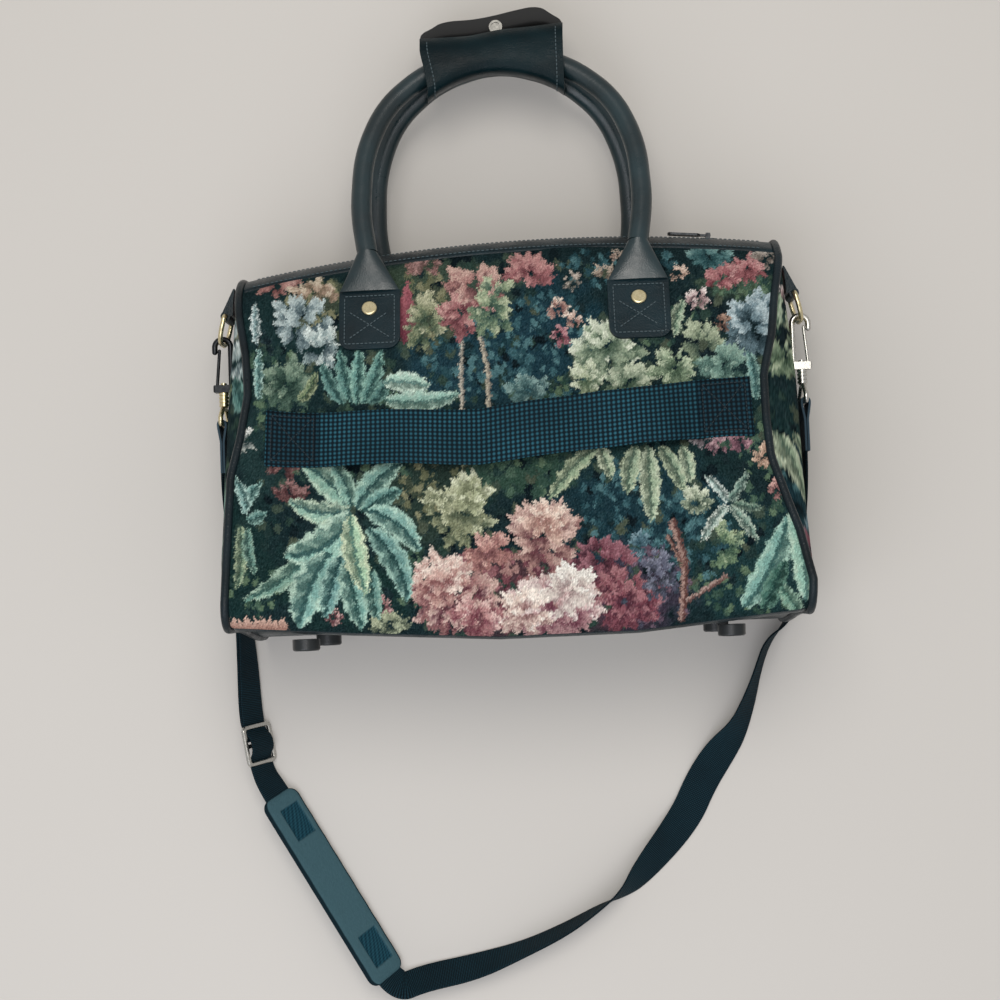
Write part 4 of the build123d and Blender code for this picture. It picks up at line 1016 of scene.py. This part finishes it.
# By the slot's name, then by the piece's
FINISHES = {
    "leather": LEATHER,
    "tapestry": TAPESTRY,
    "hardware": PALE_GOLD,
    "lining": LINING,
    "board": BOARD,
    "zip_tape": ZIP,
    "zip_coil": plain("zip_coil", "#0f1517", 0.5),
    "webbing": plain("webbing_ends", "#1b3846", 0.75, 1100.0, 0.6),
    "pad": PAD,
}
PIECES = (
    (HANDLE, ("near_handle", "far_handle")),
    (SHADED_NICKEL, ("snap_stud",)),
    (SILVER, ("snap_cap", "strap_adjuster", "right_hook", "right_gate", "right_eye")),
    # The left hook and gate are darkened as a painted dark reflection; the right hook keeps silver.
    (GUNMETAL_AND_HOOK_SHADE, ("left_hook", "left_gate", "zip_slider", "zip_pull")),
    (FOOT, ("foot_near_left", "foot_near_right", "foot_far_left", "foot_far_right")),
)
for node in nodes.values():
    for index, old in enumerate(node.data.materials):
        node.data.materials[index] = FINISHES[old.name.split(".")[0]]
    node.data.shade_smooth()
for material, names in PIECES:
    for name in names:
        nodes[name].data.materials[0] = material

# %% [markdown]
# The handle wrap: one leather sheet round both handles, with its near lip short and its far lip rising behind
# it. Its edges are read off the photograph, then kept clear of the handles.

# %% Handle wrap
# Share of the wrap's width and pixel row of the near lip, the lower edge and the far lip
WRAP_TOP = ((0, 39), (0.35, 36), (0.55, 29.5), (0.8, 26), (1, 22))
WRAP_LOW = ((0, 90), (0.3, 80), (0.5, 71), (0.68, 60), (0.74, 61), (0.85, 70), (0.92, 74), (1, 75))
WRAP_BACK = (
    (0, 33), (0.06, 26), (0.17, 22), (0.35, 20.5), (0.5, 17), (0.7, 10.5), (0.83, 7), (0.93, 9.5), (1, 18),
)
WRAP_WALL = 1.8
# The arch's middle, the distance from it that the wrap's lower edge keeps to, and the eye's distance
ARCH_MIDDLE, ARCH_CLEAR, WRAP_AWAY = (ARCH_SHIFT, 334.0), 82.5, 1295


def along_wrap(table, u):
    """Edge height in pixels at a share u of the wrap's width, softened over a tenth of it."""
    spots = np.clip(u + np.linspace(-0.05, 0.05, 9), 0, 1)
    return float(np.interp(spots, *zip(*table)).mean())


def wrap_column(u):
    """Section of the wrap at share u: far lip, back, roll under the handles, front and near lip."""
    top, low, back = (along_wrap(table, u) for table in (WRAP_TOP, WRAP_LOW, WRAP_BACK))
    left, right = 419.5 + 143.0 * u, 428.0 + 136.0 * u
    probe = seen(right, low, 56.0)
    clear = ARCH_MIDDLE[1] + np.sqrt(ARCH_CLEAR**2 - (probe[0] - ARCH_MIDDLE[0]) ** 2)
    low = low + max(probe[1] - clear, 0.0) * FOCAL / WRAP_AWAY
    marks = (
        (left + 7.0 - 14.0 * u, back, 49.8), (left + 2.0 - 4.0 * u, back + 3, 49.7),
        (left, back + 9, 49.3), (left, back + 16, 48.0), (left, back + 22, 34.0),
        (right, low - 20, 30.5), (right, low - 6, 31.5), (right, low + 0.5, 40.0), (right, low, 58.0),
        (right, low - 3, 73.0), (right, low - 16, 78.0), (left, top + 12, 77.5), (left, top + 3, 74.0),
        (left, top, 69.0),
    )
    return spline("wrap_line", [tuple(seen(px, py, z)) for px, py, z in marks])


wrap_grid = np.stack([wrap_column(u) for u in np.linspace(0, 1, 60)], axis=1)
wrap_normals = outward(wrap_grid, 2, at=(-30, 30))
wrap = sheet("handle_wrap_leather", wrap_grid, wrap_normals, WRAP_WALL, WRAP)
wrap.data.set_sharp_from_angle(angle=SHARP)
# The wrap's inner face is near-black: painted shade inside the wrap.
wrap.data.materials.append(plain("wrap_inside_shade", "#040607", 0.7))
outer_faces = (wrap_grid.shape[0] - 1) * (wrap_grid.shape[1] - 1)
for polygon in wrap.data.polygons[outer_faces : 2 * outer_faces]:
    polygon.material_index = 1
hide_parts("handle_wrap")
hem = [wrap_grid[-70:-6, k] + wrap_normals[-70:-6, k] * 0.15 for k in (3, 56)]
stitches("wrap_stitches", hem, THREAD, pitch=3.0)

# %% [markdown]
# The trolley sleeve: webbing sewn down at both ends, loose and wavy between, with the sewn ends in a darker
# copy of the webbing as painted shade.

# %% Trolley sleeve
SLEEVE_X = (-172.0, 168.0)
SEWN = 36.0
SLEEVE_WALL, SEWN_WALL, SLEEVE_GAP, SLEEVE_RISE = 1.6, 1.2, 1.8, 11.0
# Middle and half width of the band at places along it
MIDDLE_X = (-172, -120, -60, -21, 30, 89, 130, 168)
MIDDLE_Y = (142, 138, 136, 135.5, 140, 147.5, 149, 150)
HALF_X, HALF_Y = (-172, -120, 89, 130, 168), (20, 19.2, 19.8, 20.6, 21.4)


def sleeve_points(x, share, outset=0.0):
    """Band at x and share -1 to 1 of its half width: a gap over the cloth, and a wavy rise between seams."""
    middle = np.interp(x, MIDDLE_X, MIDDLE_Y) + 0.9 * np.sin(x / 19)
    cloth = near_patch(x, middle + np.interp(x, HALF_X, HALF_Y) * share)
    free = smooth((x - SLEEVE_X[0] - SEWN + 6) / 34) * smooth((SLEEVE_X[1] - SEWN + 6 - x) / 34)
    wave = 1.9 * np.sin(x / 12 + 1.1 * share) + 1.5 * np.sin(x / 27 + 2 - share)
    wave = wave + 0.8 * share * np.sin(x / 17)
    cloth[..., 2] += SLEEVE_GAP + outset + free * (SLEEVE_RISE + wave)
    return cloth


def sleeve_sheet(name, x, share, outset, wall, material):
    """A stretch of the band, with U along it and V across it in millimetres."""
    grid = sleeve_points(x, share, outset)
    uv = np.stack(np.broadcast_arrays(x, 20 * share), axis=-1)
    piece = sheet(name, grid, outward(grid, 2), wall, material, uv)
    return piece


band_x = np.linspace(*SLEEVE_X, 300)[None, :]
band_share = np.linspace(-1, 1, 24)[:, None]
sleeve = sleeve_sheet("trolley_sleeve_webbing", band_x, band_share, 0.0, SLEEVE_WALL, SLEEVE_WEB)
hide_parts("trolley_sleeve")
end_share = np.linspace(-0.97, 0.97, 16)[:, None]
t = np.linspace(-1, 1, 40)
for name, start in (("left", SLEEVE_X[0] + 1.0), ("right", SLEEVE_X[1] - SEWN - 1.0)):
    end_x = np.linspace(start, start + SEWN, 50)[None, :]
    sleeve_sheet(f"sleeve_end_{name}", end_x, end_share, 0.7, SEWN_WALL, SLEEVE_END_SHADED)
    mid, reach, edge = start + SEWN / 2, SEWN / 2 - 3, 0.82
    box = [sleeve_points(mid + reach * t, share, 0.95) for share in (edge, -edge)]
    box += [sleeve_points(mid + across, edge * t, 0.95) for across in (reach, -reach)]
    box += [sleeve_points(mid + reach * t, slope * t, 0.95) for slope in (edge, -edge)]
    stitches(f"sleeve_stitches_{name}", box, DARK_THREAD, pitch=2.8)

# %% [markdown]
# The shoulder strap is two cords that meet inside the pad. Each follows a spline through route
# points: x, y, height (None where an edge or face rests on the floor) and twist in degrees.

# %% Shoulder strap
STRAP_WIDTH, STRAP_WALL, STRAP_GAP = 25.0, 1.5, 0.35
LEFT_ROUTE = (
    (-212.84, 122, 70, 90), (-212.84, 108, 70, 90), (-212.7, 84, 57, 90), (-212.4, 60, 43, 92),
    (-212.2, 36, 31, 96), (-212.1, 6, 18.3, 104), (-211.3, -24, 12.8, 114), (-210.05, -61.3, 14, 120),
    (-203.66, -101.65, 14, 120), (-193.68, -118.86, 15.2, 132), (-172.0, -156.2, 15.2, 132),
    (-151.5, -191.5, 15.2, 132),
)
RIGHT_ROUTE = (
    (-151.5, -191.5, 15.2, 132), (-128.0, -232.0, 15.2, 132), (-105.3, -271.1, 15.2, 132),
    (-85, -264, 10.8, 132), (-46, -257, None, 130), (-10, -245, None, 108), (25, -230, None, 102),
    (52, -214, None, 90), (70, -204, None, 68), (84, -190, None, 40), (119, -151, None, 5),
    (132, -124, None, 0), (146, -103, None, 10), (162, -82, None, 50), (171, -61, None, 62),
    (178, -40, None, 73), (186, -18, None, 73), (200.5, -5, None, 90), (206, 8, 15, 90),
    (209.5, 26, 22, 90), (211.3, 50, 35, 90), (212.5, 78, 53, 90), (212.84, 106, 70, 90),
    (212.84, 122, 70, 90),
)


def resting(twist):
    """Height of the middle of a strap whose lowest edge is just over the floor, at a twist."""
    turn_by = radians(twist)
    return STRAP_WIDTH / 2 * abs(sin(turn_by)) + STRAP_WALL / 2 * abs(cos(turn_by)) + STRAP_GAP


def strap_frame(route, name):
    """Centreline, width direction cos(t) N + sin(t) Z, and upper face along the spline of a route."""
    line = spline(name, [(x, y, resting(twist) if z is None else z) for x, y, z, twist in route])
    twists = spline(f"{name}_twist", [(10.0 * k, row[3], 0.0) for k, row in enumerate(route)])[:, 1]
    travel = unit(np.gradient(line, axis=0))
    left = unit(np.stack([-travel[:, 1], travel[:, 0], 0 * travel[:, 0]], axis=-1))
    angle = np.radians(twists)[:, None]
    width = left * np.cos(angle) + np.array((0, 0, 1.0)) * np.sin(angle)
    width = unit(width - travel * np.sum(width * travel, axis=1, keepdims=True))
    return line, width, unit(np.cross(width, travel))


# The upper half of the section: places across it, and its height there as a share of half the wall
ACROSS = np.array((-1, -0.985, -0.93, -0.5, 0, 0.5, 0.93, 0.985, 1))
EDGE = np.array((0.3, 0.75, 1, 1, 1, 1, 1, 0.75, 0.3))


def ply(line, width, face, offset, start=0):
    """Points, faces and UV of one ply: the section is an 18-sided flat loop, w/2 by t/2, moved by offset."""
    u = np.concatenate([ACROSS, ACROSS[::-1]]) * STRAP_WIDTH / 2
    v = np.concatenate([EDGE, -EDGE[::-1]]) * STRAP_WALL / 2
    offset = np.broadcast_to(offset, len(line))[:, None, None]
    rings = line[:, None] + width[:, None] * u[None, :, None] + face[:, None] * (v[None, :, None] + offset)
    uv = np.stack(np.broadcast_arrays(lengths_along(line)[:, None], u[None, :]), axis=-1)
    count, sides = len(line), len(u)
    faces = quads(count, sides, start, wrap_columns=True)
    faces.append([start + k for k in range(sides)])
    faces.append([start + (count - 1) * sides + k for k in range(sides - 1, -1, -1)])
    return rings.reshape(-1, 3), faces, uv.reshape(-1, 2)


def strap_piece(name, plies):
    """One piece of webbing made of plies, which rides on no body yet."""
    points, faces, uvs = [], [], []
    for line, width, face, offset in plies:
        found = ply(line, width, face, offset, sum(len(p) for p in points))
        points.append(found[0])
        faces += found[1]
        uvs.append(found[2])
    piece = build(name, np.concatenate(points), faces, WEBBING, None)
    set_uv(piece, np.concatenate(uvs))
    return piece


# The left cord humps over the adjuster's bar, and its doubled end lies under it
ADJUSTER_Y = -82.4
HUMP, HUMP_REACH, UNDER, UNDER_RISE = 5.6, 8.5, -2.0, 2.4
line, width, face = strap_frame(LEFT_ROUTE, "strap_left_line")
steps = lengths_along(line)
bar_at = np.interp(-ADJUSTER_Y, -line[:, 1], steps)
hump = HUMP * np.exp(-(((steps - bar_at) / HUMP_REACH) ** 4))
fold = steps < bar_at - 2.0
dip = UNDER_RISE * smooth((steps[fold] - bar_at + 20) / 14)
doubled = (line[fold], width[fold], face[fold], UNDER + dip)
strap_left = strap_piece("strap_left", [(line, width, face, hump), doubled])
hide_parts("shoulder_strap")
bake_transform(strap_left)

line, width, face = strap_frame(RIGHT_ROUTE, "strap_right_line")
strap_right = strap_piece("strap_right", [(line, width, face, 0.0)])
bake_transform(strap_right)

# %% [markdown]
# The pad: a rounded bar with a darker border and two windows in its upper face, where the webbing shows.

# %% Pad
PAD_MIDDLE = np.array((-151.5, -191.5, 15.2))
PAD_ALONG = unit(np.array((0.502, -0.865, 0.0)))
PAD_LONG, PAD_WIDE, PAD_THICK, PAD_ROUND = 162.0, 36.0, 5.0, 8.0
PAD_TILT = radians(132)
# Windows: distance from the pad's middle along it, shift to one side, half length, half width, depth
WINDOW_AT, WINDOW_OFF, WINDOW_LONG, WINDOW_WIDE, WINDOW_DEEP = 56.0, 2.5, 14.0, 10.0, 1.15
pad_left = np.array((-PAD_ALONG[1], PAD_ALONG[0], 0.0))
pad_width = pad_left * cos(PAD_TILT) + np.array((0, 0, 1.0)) * sin(PAD_TILT)
pad_face = np.cross(pad_width, PAD_ALONG)


def pad_half(along):
    """Half width: w/2 - r + sqrt(r^2 - d^2) within r of an end, at depth d into the round."""
    depth = np.clip(np.abs(along) - (PAD_LONG / 2 - PAD_ROUND), 0, PAD_ROUND)
    return PAD_WIDE / 2 - PAD_ROUND + np.sqrt(np.maximum(PAD_ROUND**2 - depth**2, 0))


def pad_window(along, across):
    """1 inside a window and 0 outside, with soft edges."""
    u = np.abs(np.abs(along) - WINDOW_AT) - WINDOW_LONG
    v = np.abs(across + WINDOW_OFF) - WINDOW_WIDE
    return smooth(-np.maximum(u, v) / 1.2)


def pad_place(along, across, height):
    """The point at distances along the pad, across it and over its middle plane."""
    along, across, height = (part[..., None] for part in np.broadcast_arrays(along, across, height))
    return PAD_MIDDLE + along * PAD_ALONG + across * pad_width + height * pad_face


pad_t = np.linspace(-1, 1, 220)
pad_u = (PAD_LONG / 2 * np.sign(pad_t) * (1 - (1 - np.abs(pad_t)) ** 1.15))[:, None]
pad_s = np.sin(np.linspace(-1, 1, 56) * pi / 2)[None, :]
pad_v = pad_half(pad_u) * pad_s
window = pad_window(pad_u, pad_v)
round_off = np.minimum(1 - np.abs(pad_s) ** 10, 1) * np.minimum(1 - (np.abs(pad_u) * 2 / PAD_LONG) ** 40, 1)
pad_height = PAD_THICK / 2 * np.sqrt(np.clip(round_off, 0, 1))
upper = pad_height - WINDOW_DEEP * window + 0.12 * np.sin(pad_u / 3.1) * (1 - window)
top_grid, low_grid = pad_place(pad_u, pad_v, upper), pad_place(pad_u, pad_v, -pad_height)
rows, columns = top_grid.shape[:2]
count = rows * columns
pad_faces = quads(rows, columns) + [f[::-1] for f in quads(rows, columns, count)]
pad_rim = rim_of(rows, columns)
pad_faces += [[b, a, a + count, b + count] for a, b in zip(pad_rim, pad_rim[1:] + pad_rim[:1])]
pad_points = np.concatenate([top_grid.reshape(-1, 3), low_grid.reshape(-1, 3)])
pad = build("strap_pad_cover", pad_points, pad_faces, cloth_from_dye("pad_cloth", 900.0))
border = smooth((np.abs(pad_s) - 0.86) / 0.06)[..., None] + 0 * pad_u[..., None]
weave = 0.5 + 0.5 * np.sin(pad_u * 2.1 + pad_v * 2.1) * np.sin(pad_v * 2.6 - pad_u * 1.2)
pad_tone = linear("#47666f") * (1 - border) + linear("#16262d") * border
web_tone = linear("#10242f") + (linear("#2b5a6a") - linear("#10242f")) * weave[..., None]
pad_tone = pad_tone * (1 - window[..., None]) + web_tone * window[..., None]
set_colour(pad, np.concatenate([pad_tone.reshape(-1, 3)] * 2))
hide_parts("strap_pad")


# %% [markdown]
# A warm pale floor, a large soft lamp beyond the handles, a fill lamp and an even sky.

# %% Floor and light
FLOOR_REACH = 6
corners = [(x * FLOOR_REACH, y * FLOOR_REACH, 0) for x, y in ((-1, -1), (1, -1), (1, 1), (-1, 1))]
floor_mesh = bpy.data.meshes.new("floor")
floor_mesh.from_pydata(corners, [], [(0, 1, 2, 3)])
floor_paint = Nodes("floor", Roughness=0.9, Specular_IOR_Level=0.1)
floor_paint.shader.inputs["Base Color"].default_value = rgba("#c3c0bb")
floor_mesh.materials.append(floor_paint.material)
floor = bpy.data.objects.new("floor", floor_mesh)
bpy.context.scene.collection.objects.link(floor)


def lamp(name, where, aim, size, power, code):
    """A round soft lamp, in metres and watts, that looks at a point."""
    light = bpy.data.lights.new(name, "AREA")
    light.shape = "DISK"
    light.size = size
    light.energy = power
    light.color = linear(code).tolist()
    holder = bpy.data.objects.new(name, light)
    bpy.context.scene.collection.objects.link(holder)
    back = unit(np.array(where, float) - np.array(aim, float))
    side = unit(np.cross((0.0, 1.0, 0.01), back))
    over = np.cross(back, side)
    turn = Matrix([list(row) for row in np.stack([side, over, back], axis=1)])
    holder.matrix_world = Matrix.Translation(where) @ turn.to_4x4()


lamp("key", (0.0, 0.42, 1.8), (0, 0, 0.05), 1.0, 14, "#fffaf4")
lamp("fill", (-0.3, -0.9, 1.3), (0, -0.2, 0.0), 1.4, 10, "#f4f6ff")
world = bpy.data.worlds.new("sky")
world.use_nodes = True
sky = world.node_tree.nodes["Background"].inputs
sky["Color"].default_value = rgba("#f4f3f2")
sky["Strength"].default_value = 0.66
scene = bpy.context.scene
scene.world = world
scene.view_settings.view_transform = "Standard"
